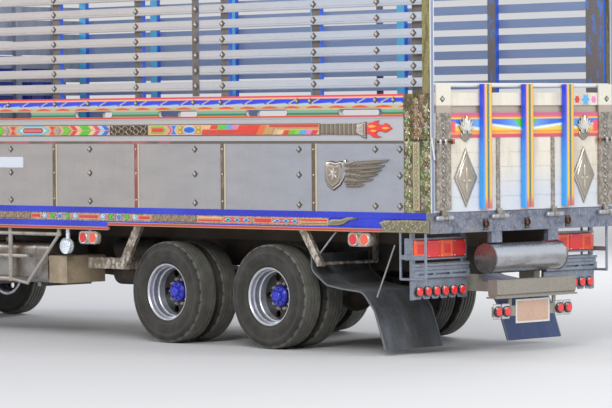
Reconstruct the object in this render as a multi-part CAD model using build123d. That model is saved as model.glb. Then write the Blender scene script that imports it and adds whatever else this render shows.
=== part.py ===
from build123d import *
import os
from math import cos, radians, sin

# Decorated ten-wheel cargo truck with a high slatted body.
# Millimetres. +X is the truck's left side, the front faces -Y, Z = 0 is the road.
# The origin is under the middle of the truck's length and width.

# Overall sizes
body_width = 2500
bumper_overhang = 130          # rear bumper's face behind the body's rear face
fit = 0.05                     # radial clearance of a pin or spindle in its bore
gap = 5                        # clearance between moving pieces
seat = 0.3                     # clearance of a piece that rests on another body

# Load body
body_length = 7350
body_base = 1275               # top of the side rails, where the walls stand
rail_depth = 175               # height of the painted side rail
side_rail_width = 65
lip_drop = 45                  # deeper front part of the side rail
lip_length = 3150
deck_thickness = 40
deck_drop = 5                  # deck's top below the side rail's top
bearer_height = 100
bearer_width = 60
bearer_count = 14
wall = 35                      # thickness of panels and slats
post_depth = 50                # posts, across the truck
post_width = 100               # posts, along the truck
post_pitch = 1180
last_post = 1420               # rear post's centre ahead of the rear face
post_count = 5
column_length = 325            # embossed rear corner column, along the truck
column_depth = 50
panel_height = 608             # lower panels
mid_rail_height = 23
rail_groove = (45, 120)        # groove along the side rail, from its lower edge
waist_bottom = 2105
waist_top = 2316
slot_length = 530
slot_height = 57
slot_height_centre = 2162
relief = 4                     # strips and rails proud of the panels
strip_width = 66
slot_shift = 15                # slots' centres ahead of the middle between two posts
slot_rim = 7                   # raised rim round a slot, in a pressed hollow
slot_rim_depth = 3
corner_post_length = 100       # rear corner post above the column, along the truck
corner_inner_length = 210      # inner post behind the column
column_seam = 1911             # joint of the column's two plates
column_groove = 5
hatch_strap = (3000, 2910)     # flat strap over the slats: front and rear edge
slat_groove = (18, 24)         # bead in the slats' lower part
wall_posts = (-800, -270, 270, 800)    # front wall's posts
wall_post_half = 40
slat_bottom = 2375
slat_height = 82
slat_pitch = 143
slat_count = 9
slat_top_gap = 39              # top slat to the top rail
top_rail_height = 60

# Chassis
rail_top = 960
rail_height = 250
rail_outer = 425               # outer face of the rail from the centre line
rail_flange = 80
rail_web = 10
rail_front_gap = 150           # front end of the rails behind the bumper's face
crossmember_size = 90
crossmember_reach = 620        # cross-members ahead of and behind the driven axles
crossmember_from_rear = 700
cab_beam_width = 80
tow_lug_thickness = 30
tow_lug_bottom = 370
tow_eye_radius = 20
tow_eye_height = 412
spring_x = 500                 # rear springs' centre
spring_width = 90
front_spring_half = 700
spring_shackle = 600           # lowest point of the front springs' hangers
front_pack, rear_pack = 95, 90    # thickness of the springs at the middle
trunnion_height = 560
trunnion_radius = 60
trunnion_half = 110

# Engine and shafts
engine_setback = 450           # engine's front end behind the bumper's face
engine_length = 1250
engine_half = 310
engine_bottom = 600
engine_top = 1250
sump_bottom, sump_half = 480, 190
cover_width, cover_height = 110, 190    # steps beside the valve covers
pocket_count, pocket_depth = 6, 25
pulley_radius = 70
fan_radius = 260
fan_ahead = (62, 30)           # fan's faces ahead of the engine
housing_length = 260
gearbox_length = 800
gearbox_half = 200
gearbox_bottom = 560
gearbox_top = 840
shaft_radius = 45
coupling_radius = 70
shaft_height = 680             # where the main shaft leaves the gearbox

# Side equipment, with places ahead of the body's rear face
tank_front, tank_rear = 6350, 5190
tank_inner, tank_inset = 620, 100
tank_bottom, tank_top = 515, 905
tank_corner = 70
tank_strap = 40
filler_from_front, filler_inset, filler_radius = 420, 150, 45
box_front, box_rear = 5170, 4910
box_bottom, box_top = 520, 786
air_tank_front, air_tank_rear = 4780, 4180
air_tank_radius = 105
air_tank_heights = (845, 600)
silencer_front, silencer_rear = 6200, 5250
silencer_x, silencer_height, silencer_radius = -720, 700, 150
pipe_front, pipe_rear, pipe_radius = 6500, 4950, 50
spare_x, spare_back, spare_height = -650, 4480, 500
guard_inset = 50
guard_bar = 19
guard_upright = 23
guard_brace = 16
guard_front = 6900
guard_rows = [(1000, 4960), (776, 5430), (547, 5690)]    # height, rear end
guard_foot = (5440, 510)       # lowest corner of the guard's brace

# Wheels and axles
tyre_radius = 480
tyre_width = 236
tread_width = 184
bead_width = 176
rim_flange_radius = 267
rim_barrel_radius = 252
rim_thickness = 14
flange_thickness = 10
outer_tyre = 1065              # centre of the outer rear tyre
twin_spacing = 290
front_tyre = 1040              # centre of the front tyre
spindle_radius = 45
belly_radius, shoulder_radius = 345, 440    # where the wall is widest, where it ends
hub_radius = 94
hub_flange_radius = 125
hub_reach = 148                # hub cap's face inside the tyre's outer face
disc_reach = 198               # rear disc's face inside the tyre's outer face
disc_thickness = 16
front_disc = 30                # front disc's inner face outside the rim's centre
front_hub_nose = 92            # front hub cap's face outside the rim's centre
hand_hole_radius = 33
hand_hole_circle = 178
hand_hole_count = 5
rim_steps = [(13, 251), (45, 247), (53, 236), (105, 233), (113, 223)]    # depth, radius
rear_axle_from_rear = 2100
tandem_spacing = 1370
front_axle_setback = 1270      # front axle behind the bumper's face
axle_tube_radius = 65
diff_radius = 185
diff_nose = 320
diff_nose_radius = 80
drum_radius = 205
kingpin_offset = 860
kingpin_radius = 22
arm_length = 250
tie_rod_drop = 105             # tie rod below the wheel's centre

# Cab
cab_width = 2400
cab_length = 1960
cab_bottom = 1080
cab_roof = 2800
cab_belt = 1760
cab_wall = 50
cab_front_gap = 60             # cab's front panel behind the bumper's face
cab_back_gap = 200             # cab's back wall ahead of the load body
cab_skirt = 120                # front panel below the cab's floor
cab_rake = 140
tunnel_half = 450
tunnel_top = 1350
pivot_height = 880
pivot_setback = 250            # tilt pivot behind the bumper's face
pivot_radius = 25
door_front = 290               # door's front edge behind the bumper's face
door_length = 960
door_drop = 160                # door opening below the roof
door_hinge_out = 12            # hinge axis outside the door's skin
door_hinge_ahead = 17
door_hinge_heights = (1400, 1750)
hinge_radius = 11
window_rise = 90               # window's lower edge above the belt line
window_front = 90              # window's front edge behind the door's
window_rear = 80
windscreen_half = 1010
windscreen_rise, windscreen_drop = 30, 170    # above the belt line, below the roof
back_window_half = 520
back_window_rise, back_window_drop = 120, 470
cab_ribs, cab_rib_half, cab_rib_proud = (-900, -700, 700, 900), 25, 12
dash_bottom, dash_belly, dash_brow, dash_top = 1480, 1620, 1770, 1740
dash_reach = (300, 360, 240)   # its lower, middle and upper edge behind the front panel
handle_hollow = (230, 60)      # ahead of the door's rear edge
door_line = 260                # pressed line above the door's lower edge
mirror_inner, mirror_outer = 40, 220
visor_half = 1050
visor_reach = 165
seat_x = 800
seat_setback = 820             # seats' front edge behind the bumper's face
seat_height = 1480
seat_depth = 540
seat_back_top = 2280
wheel_ring_radius = 215
wheel_ring_bar = 16
wheel_centre = (-800, 430, 1850)    # steering wheel: X, distance behind the front panel, Z
mirror_bar = 130               # mirror's upright outside the cab
mirror_height, mirror_drop = 600, 350    # upright's length, its head below the roof
mirror_head, mirror_head_drop = 370, 120

# Front bumper
bumper_bottom = 450
bumper_top = 750
bumper_thickness = 60
bumper_depth = 230             # ends' reach to the rear
bumper_corner = 110
headlamp_inner, headlamp_outer = 740, 1040
headlamp_bottom, headlamp_top = 540, 690
fog_inner, fog_outer = 470, 660
intake_half, intake_rows = 380, 3
fender_inner, fender_inset = 900, 10
fender_rise = [(600, 520), (600, 720), (380, 1005)]    # distance from the axle, height
fender_sheet = 15
step_inner = 930
step_bottom, step_top = 430, 1000
step_holes = [(450, 690), (720, 980)]
grille_half = 720
grille_bottom, grille_top = 1040, 1500
grille_slots = 5

# Rear end
gate_thickness = 45
gate_top = 2390
gate_hinge_out = 30
gate_hinge_drop = 45           # hinge axis below the sill's top
gate_pin = 11
gate_post_pitch = 560
gate_post_width = 117
gate_post_proud = 58
gate_hinge_inset, gate_hinge_inner = 90, 373
band_bottom, band_top = 1928, 2147    # the gate's painted band
band_proud = 8
recess_top = 2210
board_top = 2324
plank_joints = (1405, 1535, 1665, 1795)
stile_width = 185
gate_foot_rise = 25            # posts' lower ends above the sill
diamond_x, diamond_height = 805, 1560
diamond_half_width, diamond_half_height = 145, 240
rear_drum_radius = 130
rear_drum_half = 490
rear_drum_height = 855
sill_block_x, sill_block_half = 385, 70
rear_bumper_half = 535
rear_bumper_bottom = 528
rear_bumper_height = 139
rear_bumper_depth = 110
bumper_arm_reach = 200         # arms along the rails' rear ends
bumper_flange = 25             # lower flange outside the bumper box's ends
bumper_flange_sheet = 14
carrier_arm = 300
carrier_out = 75               # plate carrier's face behind the rear face
carrier_bottom, carrier_top = 340, 430
plate_half_width = 230
plate_bottom, plate_top = 272, 484
lamp_plane = 240               # lamp plates ahead of the rear face
lamp_inner, lamp_inset = 525, 10
lamp_strap, lamp_strap_sheet, lamp_strap_bottom = 50, 20, 510
lamp_sheet = 15                # housing's walls
housing_depth, lens_depth = 90, 60
step_fold = [(-10, 834), (20, 834), (40, 822), (40, 806), (26, 796), (26, 772),
             (38, 762), (38, 700), (20, 690), (-10, 690)]    # out of the lamp plane, height
step_slots, step_slot_bottom, step_slot_top = 3, 726, 742
lens_bottom, lens_top = 878, 1030
lens_count = 4
lens_space = 6
round_lamp_radius = 47
round_lamp_inset = 77          # outermost round lamps' centres inside the plate's ends
round_lamp_count = 6
round_lamp_height = 582
round_plate_top = 700
notch_half, notch_rise = 22, 38
plate_lamp_places = (362, 477)
plate_lamp_height = 385
plate_lamp_radius = 50
lamp_guard_bar = 12
lamp_guard_front, lamp_guard_rear = 380, 82
lamp_guard_heights = (885, 692)

# Side lamps: distance ahead of the rear face and height
twin_lamps = [(887, 1030), (4500, 977)]
twin_lamp_length, twin_lamp_height = 275, 125
twin_lamp_inset, twin_lamp_depth = 60, 42    # their backs inside the body's side
round_side_lamp = (4830, 888)
round_side_lamp_radius = 75

# Mud flaps, with places ahead of the rear face
flap_inner, flap_thickness, flap_inset = 440, 12, 50
flap_top = 1515                # upright top
flap_bar = 1380                # bar that carries it
flap_bar_height = 800
flap_stay = (1640, 1540)       # stay's head on the side rail
flap_clips, flap_clip_half = (560, 820, 1080), 30
step_stay = (3840, 3740)       # head and foot of the stay ahead of the wheels
step_stay_foot = (4080, 3960)
shelf_front, shelf_rear = 4540, 3970
shelf_bottom, shelf_top, shelf_width, shelf_sheet = 682, 784, 150, 8
flap_line = [(1515, 890), (1515, 740), (1330, 610), (1130, 580), (880, 560), (740, 400), (610, 55)]
flap_bends = [90, 150, 200, 130, 150]

# Worked-out places
half_width = body_width / 2
overall_length = cab_front_gap + cab_length + cab_back_gap + body_length + bumper_overhang
overall_height = (slat_bottom + slat_pitch * (slat_count - 1) + slat_height + slat_top_gap
                  + top_rail_height)
front_y = -overall_length / 2
rear_y = overall_length / 2 - bumper_overhang
body_front = rear_y - body_length
rear_axle_y = rear_y - rear_axle_from_rear
mid_axle_y = rear_axle_y - tandem_spacing
front_axle_y = front_y + front_axle_setback
trunnion_y = (rear_axle_y + mid_axle_y) / 2
rail_bottom = rail_top - rail_height
rail_front_y = front_y + rail_front_gap
drum_y = rear_y - 50
rail_rear_y = drum_y - rear_drum_radius - seat
deck_top = body_base - deck_drop
bearer_top = deck_top - deck_thickness
bearer_bottom = bearer_top - bearer_height
post_inner = half_width - wall - post_depth
guard_x = half_width - guard_inset
tank_outer = half_width - tank_inset
flap_outer = half_width - flap_inset
flap_width = flap_outer - flap_inner
lamp_outer = half_width - lamp_inset
twin_lamp_inner = half_width - twin_lamp_inset
twin_lamp_outer = twin_lamp_inner + twin_lamp_depth
round_lamp_pitch = (lamp_outer - lamp_inner - 2 * round_lamp_inset) / (round_lamp_count - 1)
round_lamp_first = lamp_inner + round_lamp_inset
deck_half = half_width - side_rail_width
column_y = rear_y - column_length
cab_front_y = front_y + cab_front_gap
cab_back_y = body_front - cab_back_gap
cab_half = cab_width / 2
fender_outer = cab_half - fender_inset
pivot_y = front_y + pivot_setback
door_y0 = front_y + door_front + gap
door_y1 = door_y0 + door_length - 2 * gap
panel_top = body_base + panel_height
mid_rail_top = panel_top + mid_rail_height
rail_underside = body_base - rail_depth
gate_half = half_width - column_depth - gap
gate_hinge_height = body_base - gate_hinge_drop
gate_foot = body_base + gate_foot_rise
gate_hinge_places = (gate_hinge_inset - gate_half, -gate_hinge_inner, gate_hinge_inner,
                     gate_half - gate_hinge_inset)
sill_bottom = rail_underside - 5
slat_end = rear_y - corner_post_length
beam_top = tyre_radius - 20    # top of the front axle's beam
spring_pad = tyre_radius + axle_tube_radius + 15
engine_front = front_y + engine_setback
engine_back = engine_front + engine_length
gearbox_back = engine_back + gearbox_length
tow_eye_y = rail_front_y - 30
bay = (mid_axle_y - crossmember_reach - gearbox_back) / 3
crossmember_places = [rail_front_y + 60, gearbox_back + bay, gearbox_back + 2 * bay,
                      mid_axle_y - crossmember_reach, trunnion_y,
                      rear_axle_y + crossmember_reach, rear_y - crossmember_from_rear]
seat_front_y = front_y + seat_setback
screen_slope = cab_rake / (cab_roof - 80 - cab_belt)
door_top = cab_roof - door_drop
window_bottom = cab_belt + window_rise
windscreen_bottom, windscreen_top = cab_belt + windscreen_rise, cab_roof - windscreen_drop
back_window_bottom, back_window_top = cab_belt + back_window_rise, cab_roof - back_window_drop
mirror_high = cab_roof - mirror_drop
mirror_low = mirror_high - mirror_height


def block(x, y, z):
    """A box from three (low, high) pairs."""
    size = [abs(high - low) for low, high in (x, y, z)]
    centre = [(low + high) / 2 for low, high in (x, y, z)]
    return Pos(*centre) * Box(*size)


def rod(start, end, radius):
    """A round bar between two points."""
    a, b = Vector(*start), Vector(*end)
    return Plane(origin=a, z_dir=b - a) * Cylinder(
        radius, (b - a).length, align=(Align.CENTER, Align.CENTER, Align.MIN)
    )


def side_profile(points, x0, x1):
    """A polygon in the (Y, Z) plane, extruded across the truck from x0 to x1."""
    plane = Plane(origin=(x0, 0, 0), x_dir=(0, 1, 0), z_dir=(1, 0, 0))
    return extrude(plane * make_face(Polyline(*points, close=True)), x1 - x0)


def turned(points, centre):
    """A (distance along X, radius) outline turned round an axis parallel to X."""
    face = make_face(Polyline(*[(x, radius) for x, radius in points], close=True))
    return Pos(*centre) * revolve(face, Axis.X)


def across(shape):
    """The same piece on the truck's right side."""
    return mirror(shape, Plane.YZ)


def pair(shape):
    return Compound([shape, across(shape)])


def solids_of(*shapes):
    """Separate solids that share one node."""
    found = []
    for shape in shapes:
        found.extend(shape.solids())
    return Compound(found)


def behind(distance):
    """Y of a place that lies so far ahead of the body's rear face."""
    return rear_y - distance


# Chassis

def chassis_frame():
    rail = block((rail_outer - rail_flange, rail_outer), (rail_front_y, rail_rear_y),
                 (rail_bottom, rail_top))
    rail -= block((rail_outer - rail_flange - 1, rail_outer - rail_web),
                  (rail_front_y - 1, rail_rear_y + 1),
                  (rail_bottom + rail_web, rail_top - rail_web))
    lug_outer = rail_outer
    lug = side_profile([(rail_front_y - 70, tow_lug_bottom), (rail_front_y + 10, tow_lug_bottom),
                        (rail_front_y + 80, rail_bottom), (rail_front_y + 80, rail_bottom + 60),
                        (front_y + bumper_thickness, rail_bottom + 60),
                        (front_y + bumper_thickness, rail_bottom - 60),
                        (rail_front_y - 70, rail_bottom - 60)],
                       lug_outer - tow_lug_thickness, lug_outer)
    lug -= rod((lug_outer - 100, tow_eye_y, tow_eye_height),
               (lug_outer + 50, tow_eye_y, tow_eye_height), tow_eye_radius)
    side = rail + lug
    side += rod((rail_outer - rail_web, pivot_y, pivot_height),
                (rail_outer + 80, pivot_y, pivot_height), pivot_radius)
    frame = side + across(side)
    inner = rail_outer - rail_web
    middle = (rail_bottom + rail_top) / 2
    half = crossmember_size / 2
    for y in crossmember_places:
        frame += block((-inner, inner), (y - half, y + half), (middle - half, middle + half))
    frame += block((-inner, inner), (rail_rear_y - rail_web, rail_rear_y),
                   (rail_bottom, rail_top))
    # Cross beam that the cab's back rests on
    rests = (cab_back_y - cab_beam_width / 2, cab_back_y + cab_beam_width / 2)
    frame += block((-rail_outer, rail_outer), rests, (rail_top - 20, cab_bottom - seat - 60))
    for x in (-rail_outer + 60, rail_outer - 60):
        frame += block((x - 60, x + 60), rests, (rail_top - 20, cab_bottom - seat))
    return frame


def engine_block():
    """Block with its covers, sump, fan and gearbox, down to the shape that shows."""
    engine = block((-engine_half, engine_half), (engine_front, engine_back),
                   (engine_bottom, engine_top))
    for side in (-1, 1):
        low, high = sorted((side * (engine_half - cover_width), side * (engine_half + 1)))
        engine -= block((low, high), (engine_front - 1, engine_back + 1),
                        (engine_top - cover_height, engine_top + 1))
        pitch = (engine_length - 80) / pocket_count
        for index in range(pocket_count):
            y = engine_front + 60 + pitch * index
            low, high = sorted((side * (engine_half - pocket_depth), side * (engine_half + 1)))
            engine -= block((low, high), (y, y + pitch - 45),
                            (engine_bottom + 90, engine_top - cover_height - 70))
    engine += block((-sump_half, sump_half), (engine_front + 120, engine_back - 60),
                    (sump_bottom, engine_bottom))
    axis = (engine_bottom + engine_top) / 2 - 60
    fan_front, fan_back = [engine_front - reach for reach in fan_ahead]
    engine += rod((0, fan_front - 8, axis), (0, engine_front, axis), pulley_radius)
    engine += rod((0, fan_front, axis), (0, fan_back, axis), fan_radius)
    end = Plane(origin=(0, engine_back, (gearbox_bottom + gearbox_top) / 2), z_dir=(0, 1, 0))
    housing = end * Cone(gearbox_half + 60, gearbox_half - 60, housing_length,
                         align=(Align.CENTER, Align.CENTER, Align.MIN))
    box = block((-gearbox_half, gearbox_half), (engine_back, gearbox_back),
                (gearbox_bottom, gearbox_top))
    box = chamfer(box.edges().filter_by(Axis.Y), 40)
    return engine + housing + box


def front_axle():
    spring_centre = rail_outer - rail_flange / 2
    boss = Pos(kingpin_offset, front_axle_y, tyre_radius) * Cylinder(45, 80)
    neck = side_profile([(front_axle_y - 35, tyre_radius - 38), (front_axle_y + 35, tyre_radius - 38),
                         (front_axle_y + 35, tyre_radius + 38), (front_axle_y - 35, tyre_radius + 38)],
                        kingpin_offset - 160, kingpin_offset - 30)
    half = boss + neck
    half -= Pos(kingpin_offset, front_axle_y, tyre_radius) * Cylinder(kingpin_radius + fit, 200)
    beam = block((-(kingpin_offset - 100), kingpin_offset - 100),
                 (front_axle_y - 45, front_axle_y + 45), (beam_top - 110, beam_top))
    for low, high in ((-46, -14), (14, 46)):
        beam -= block((-(spring_centre + 200), spring_centre + 200),
                      (front_axle_y + low, front_axle_y + high), (beam_top - 85, beam_top - 25))
    return beam + half + across(half)


def drive_axle(y):
    reach = outer_tyre + tyre_width / 2 - hub_reach - 20
    tube_end = outer_tyre - twin_spacing - tyre_width / 2 - 60
    axle = rod((-reach, y, tyre_radius), (reach, y, tyre_radius), spindle_radius)
    axle += rod((-tube_end, y, tyre_radius), (tube_end, y, tyre_radius), axle_tube_radius)
    axle += Pos(0, y, tyre_radius) * Sphere(diff_radius)
    axle += rod((0, y, tyre_radius), (0, y - diff_nose, tyre_radius), diff_nose_radius)
    plate = rod((tube_end - 12, y, tyre_radius), (tube_end, y, tyre_radius), drum_radius - 15)
    pad = block((spring_x - spring_width / 2, spring_x + spring_width / 2), (y - 60, y + 60),
                (tyre_radius, spring_pad))
    axle += plate + across(plate) + pad + across(pad)
    return axle


def axles():
    return solids_of(front_axle(), drive_axle(mid_axle_y), drive_axle(rear_axle_y))


def leaf_pack(y, half_length, ends, middle, x0, x1):
    """A curved spring: ends and middle are (bottom, top) heights."""
    plane = Plane(origin=(x0, 0, 0), x_dir=(0, 1, 0), z_dir=(1, 0, 0))
    outline = [
        ThreePointArc((y - half_length, ends[0]), (y, middle[0]), (y + half_length, ends[0])),
        Line((y + half_length, ends[0]), (y + half_length, ends[1])),
        ThreePointArc((y + half_length, ends[1]), (y, middle[1]), (y - half_length, ends[1])),
        Line((y - half_length, ends[1]), (y - half_length, ends[0])),
    ]
    return extrude(plane * make_face(outline), x1 - x0)


def leaf_springs():
    inner, outer = rail_outer - rail_flange, rail_outer
    front = leaf_pack(front_axle_y, front_spring_half, (spring_shackle + 10, spring_shackle + 40),
                      (beam_top, beam_top + front_pack), inner, outer)
    for y in (front_axle_y - front_spring_half + 20, front_axle_y + front_spring_half - 20):
        front += block((inner, outer), (y - 40, y + 40), (spring_shackle, rail_bottom))
    half_tandem = tandem_spacing / 2
    x0, x1 = spring_x - spring_width / 2, spring_x + spring_width / 2
    rear = leaf_pack(trunnion_y, half_tandem + 50, (spring_pad + 4, spring_pad + 34),
                     (spring_pad + 40, spring_pad + 40 + rear_pack), x0, x1)
    for y in (mid_axle_y, rear_axle_y):
        rear += block((x0, x1), (y - 50, y + 50), (spring_pad, spring_pad + 24))
    rear += rod((inner, trunnion_y, trunnion_height), (x1 + 15, trunnion_y, trunnion_height),
                trunnion_radius)
    rear += block((inner, outer), (trunnion_y - trunnion_half, trunnion_y + trunnion_half),
                  (trunnion_height - 20, rail_bottom))
    return solids_of(front, across(front), rear, across(rear))


def propeller_shafts():
    def shaft(start, end):
        a, b, step = Vector(*start), Vector(*end), Vector(0, 50, 0)
        bar = rod(a + step * 0.5, b - step * 0.5, shaft_radius)
        bar += rod(a, a + step, coupling_radius)
        bar += rod(b - step, b, coupling_radius)
        return bar
    main = shaft((0, gearbox_back + seat, shaft_height),
                 (0, mid_axle_y - diff_nose - seat, tyre_radius))
    inter = shaft((0, mid_axle_y + diff_radius, tyre_radius),
                  (0, rear_axle_y - diff_nose - seat, tyre_radius))
    return solids_of(main, inter)


# Side equipment

def tank_bracket(y, reach, low, high):
    leg = block((rail_outer, rail_outer + 40), (y - 25, y + 25), (low - 40, high))
    return leg + block((rail_outer, reach), (y - 25, y + 25), (low - 40, low))


def fuel_tank():
    low, high, inner, outer = tank_bottom, tank_top, tank_inner, tank_outer
    y0, y1 = behind(tank_front), behind(tank_rear)
    tank = fillet(block((inner, outer), (y0, y1), (low, high)).edges().filter_by(Axis.Y), tank_corner)
    for y in (y0 + 200, y1 - 200):
        tank += tank_bracket(y, outer - 60, low, high - 100)
        band = block((inner - 3, outer + 3), (y - tank_strap / 2, y + tank_strap / 2), (low, high + 3))
        tank += fillet(band.edges().filter_by(Axis.Y), tank_corner)
    x, y = outer - filler_inset, y0 + filler_from_front
    tank += rod((x, y, high - 5), (x, y, high + 45), filler_radius)
    return tank


def battery_box():
    box = block((tank_inner + 30, tank_outer), (behind(box_front), behind(box_rear)),
                (box_bottom, box_top))
    lid = block((tank_inner + 25, tank_outer + 5), (behind(box_front + 5), behind(box_rear - 5)),
                (box_top - 50, box_top))
    box += chamfer(lid.edges().group_by(Axis.Z)[-1], 8)
    box += block((rail_outer, tank_inner + 40), (behind(box_front - 70), behind(box_rear + 70)),
                 (rail_bottom, box_top - 60))
    return box


def air_tanks():
    x = rail_outer + air_tank_radius + 40
    tanks = None
    for z in air_tank_heights:
        tank = rod((x, behind(air_tank_front), z), (x, behind(air_tank_rear), z), air_tank_radius)
        tank = fillet(tank.edges(), 40)
        tanks = tank if tanks is None else tanks + tank
    low, high = air_tank_heights[1] - 60, air_tank_heights[0] + 55
    for place in (air_tank_front - 140, air_tank_rear + 140):
        tanks += block((rail_outer, rail_outer + 60), (behind(place + 25), behind(place - 25)),
                       (low, high))
    return tanks


def exhaust():
    x, z = silencer_x, silencer_height
    silencer = rod((x, behind(silencer_front), z), (x, behind(silencer_rear), z), silencer_radius)
    pipe = fillet(silencer.edges(), 35)
    pipe += rod((x, behind(pipe_front), z), (x, behind(pipe_rear), z), pipe_radius)
    pipe += rod((x, behind(pipe_rear), z), (-tank_outer - 30, behind(pipe_rear), z - 60), pipe_radius)
    pipe += Pos(x, behind(pipe_rear), z) * Sphere(pipe_radius)
    for place in (silencer_front - 200, silencer_rear + 200):
        y = behind(place)
        pipe += block((x, -rail_outer), (y - 25, y + 25), (rail_bottom + 20, rail_bottom + 60))
    return pipe


def tyre_outline(offset):
    half, tread, bead = tyre_width / 2, tread_width / 2, bead_width / 2
    wall_points = [(bead - 6.5, rim_barrel_radius + seat), (half, belly_radius),
                   (half - 6, shoulder_radius), (tread, tyre_radius)]
    right = [(offset + x, r) for x, r in wall_points]
    left = [(offset - x, r) for x, r in reversed(wall_points)]
    return right + left


def spare_wheel():
    x, y, z = spare_x, behind(spare_back), spare_height
    inner = rim_barrel_radius - rim_thickness
    points = [(bead_width / 2, inner)] + tyre_outline(0)[1:-1] + [
        (-bead_width / 2, inner), (-10, inner), (-10, 60), (20, 60), (20, inner)]
    face = make_face(Polyline(*points, close=True))
    wheel = Pos(x, y, z) * Rot(0, -90, 0) * revolve(face, Axis.X)
    # Winch hanger on the chassis rail
    wheel += Pos(x, y, z) * Cylinder(62, 60)
    wheel += rod((x, y, z), (x, y, rail_bottom + 60), 22)
    wheel += block((x - 30, -rail_outer), (y - 30, y + 30), (rail_bottom + 20, rail_bottom + 60))
    return wheel


def side_guard():
    x, brace = guard_x, guard_brace
    (top, top_end), _, (low, low_end) = guard_rows
    corner, depth = guard_foot
    shape = rod((x, behind(corner), depth), (x, behind(top_end), top), brace)
    shape += rod((x, behind(low_end), low), (x, behind(corner), depth), brace)
    shape += Pos(x, behind(corner), depth) * Sphere(brace + 1)
    for height, rear in guard_rows:
        shape += rod((x, behind(guard_front), height), (x, behind(rear), height), guard_bar)
    for place, foot in ((top_end, top - 15), (low_end, low - 22), (guard_front - 250, low - 22)):
        shape += rod((x, behind(place), foot), (x, behind(place), rail_underside), guard_upright)
    return shape


# Load body

def bed_floor():
    deck = block((-deck_half, deck_half), (body_front, rear_y - bearer_width),
                 (bearer_top, deck_top))
    span = body_length - 2 * bearer_width - bearer_width
    for index in range(bearer_count):
        y = body_front + span * index / (bearer_count - 1)
        deck += block((-deck_half, deck_half), (y, y + bearer_width), (bearer_bottom, bearer_top))
    for inner in (rail_outer - rail_flange, -rail_outer):
        deck += block((inner, inner + rail_flange), (body_front, rail_rear_y),
                      (rail_top, bearer_bottom))
        deck += block((inner, inner + rail_flange), (rail_rear_y, rear_y - bearer_width),
                      (rear_drum_height + rear_drum_radius + gap, bearer_bottom))
    return deck


def side_rail():
    low, top = rail_underside, body_base
    outer, inner = half_width, deck_half
    groove, bottom, mouth = 6, low + rail_groove[0], low + rail_groove[1]
    points = [(inner, low), (outer, low), (outer, bottom), (outer - groove, bottom + 5),
              (outer - groove, mouth - 5), (outer, mouth), (outer, top), (inner, top)]
    plane = Plane(origin=(0, rear_y - bearer_width, 0), x_dir=(1, 0, 0), z_dir=(0, -1, 0))
    rail = extrude(plane * make_face(Polyline(*points, close=True)), body_length - bearer_width)
    rail += block((outer - 25, outer), (body_front, body_front + lip_length),
                  (low - lip_drop, low))
    return rail


def rear_sill():
    sill = block((-half_width, half_width), (rear_y - bearer_width, rear_y),
                 (sill_bottom, body_base))
    # Capped ends of the two long sills
    block_bottom = rear_drum_height + rear_drum_radius + gap + 5
    for x in (-sill_block_x, sill_block_x):
        sill += block((x - sill_block_half, x + sill_block_half),
                      (rear_y - bearer_width + 5, rear_y - 4), (block_bottom, sill_bottom))
    axis_y = rear_y + gate_hinge_out
    for x in gate_hinge_places:
        for low, high in ((x - 95, x - 35), (x + 35, x + 95)):
            knuckle = rod((low, axis_y, gate_hinge_height), (high, axis_y, gate_hinge_height), 22)
            knuckle += block((low, high), (rear_y - 5, axis_y), (gate_hinge_height - 20,
                                                                 gate_hinge_height + 2))
            sill += knuckle
        sill += rod((x - 95, axis_y, gate_hinge_height), (x + 95, axis_y, gate_hinge_height),
                    gate_pin)
    return sill


def post_places():
    return [behind(last_post + post_pitch * index) for index in range(post_count)]


def side_panel():
    y0, y1 = body_front, column_y
    panel = block((half_width - wall, half_width - relief), (y0, y1), (body_base, panel_top))
    panel += block((half_width - wall, half_width), (y0, y1), (panel_top, mid_rail_top))
    for y in post_places():
        panel += block((half_width - wall, half_width),
                       (y - strip_width / 2, y + strip_width / 2), (body_base, panel_top))
    return panel


def waist_band():
    y0, y1 = body_front, column_y
    band = block((half_width - wall, half_width - relief), (y0, y1), (mid_rail_top, waist_bottom))
    band += block((half_width - wall, half_width), (y0, y1), (waist_bottom, waist_top))
    for index in range(post_count + 1):
        y = behind(last_post + post_pitch * (index - 0.5) + slot_shift)
        y = min(max(y, y0 + slot_length / 2 + 60), y1 - slot_length / 2 - 60)
        band -= slot_shape(y, 2 * slot_rim, half_width - slot_rim_depth, half_width + 5)
        band += slot_shape(y, slot_rim, half_width - slot_rim_depth - 1, half_width)
        band -= slot_shape(y, 0, half_width - wall - 5, half_width + 5)
    return band


def slot_shape(y, margin, x0, x1):
    """A slot with round ends through the waist band, larger by the margin all round."""
    outline = SlotOverall(slot_length + 2 * margin, slot_height + 2 * margin)
    plane = Plane(origin=(x0, y, slot_height_centre), x_dir=(0, 1, 0), z_dir=(1, 0, 0))
    return extrude(plane * outline, x1 - x0)


def rack_posts():
    inner, outer = post_inner, half_width - wall
    top = overall_height - top_rail_height
    rack = block((inner, half_width), (body_front + wall, slat_end), (top, overall_height))
    rack += block((outer, half_width), (body_front, slat_end), (top, overall_height))
    for y in post_places() + [body_front + wall + post_width / 2]:
        rack += block((inner, outer), (y - post_width / 2, y + post_width / 2), (body_base, top))
    corner_end = rear_y - gate_thickness - gap
    corner_outer = half_width - column_depth
    rack += block((inner, corner_outer),
                  (corner_end - corner_inner_length, corner_end), (body_base, top + 10))
    rack += block((half_width - relief, half_width), (behind(hatch_strap[0]), behind(hatch_strap[1])),
                  (waist_top + 5, top + 5))
    return rack


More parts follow.
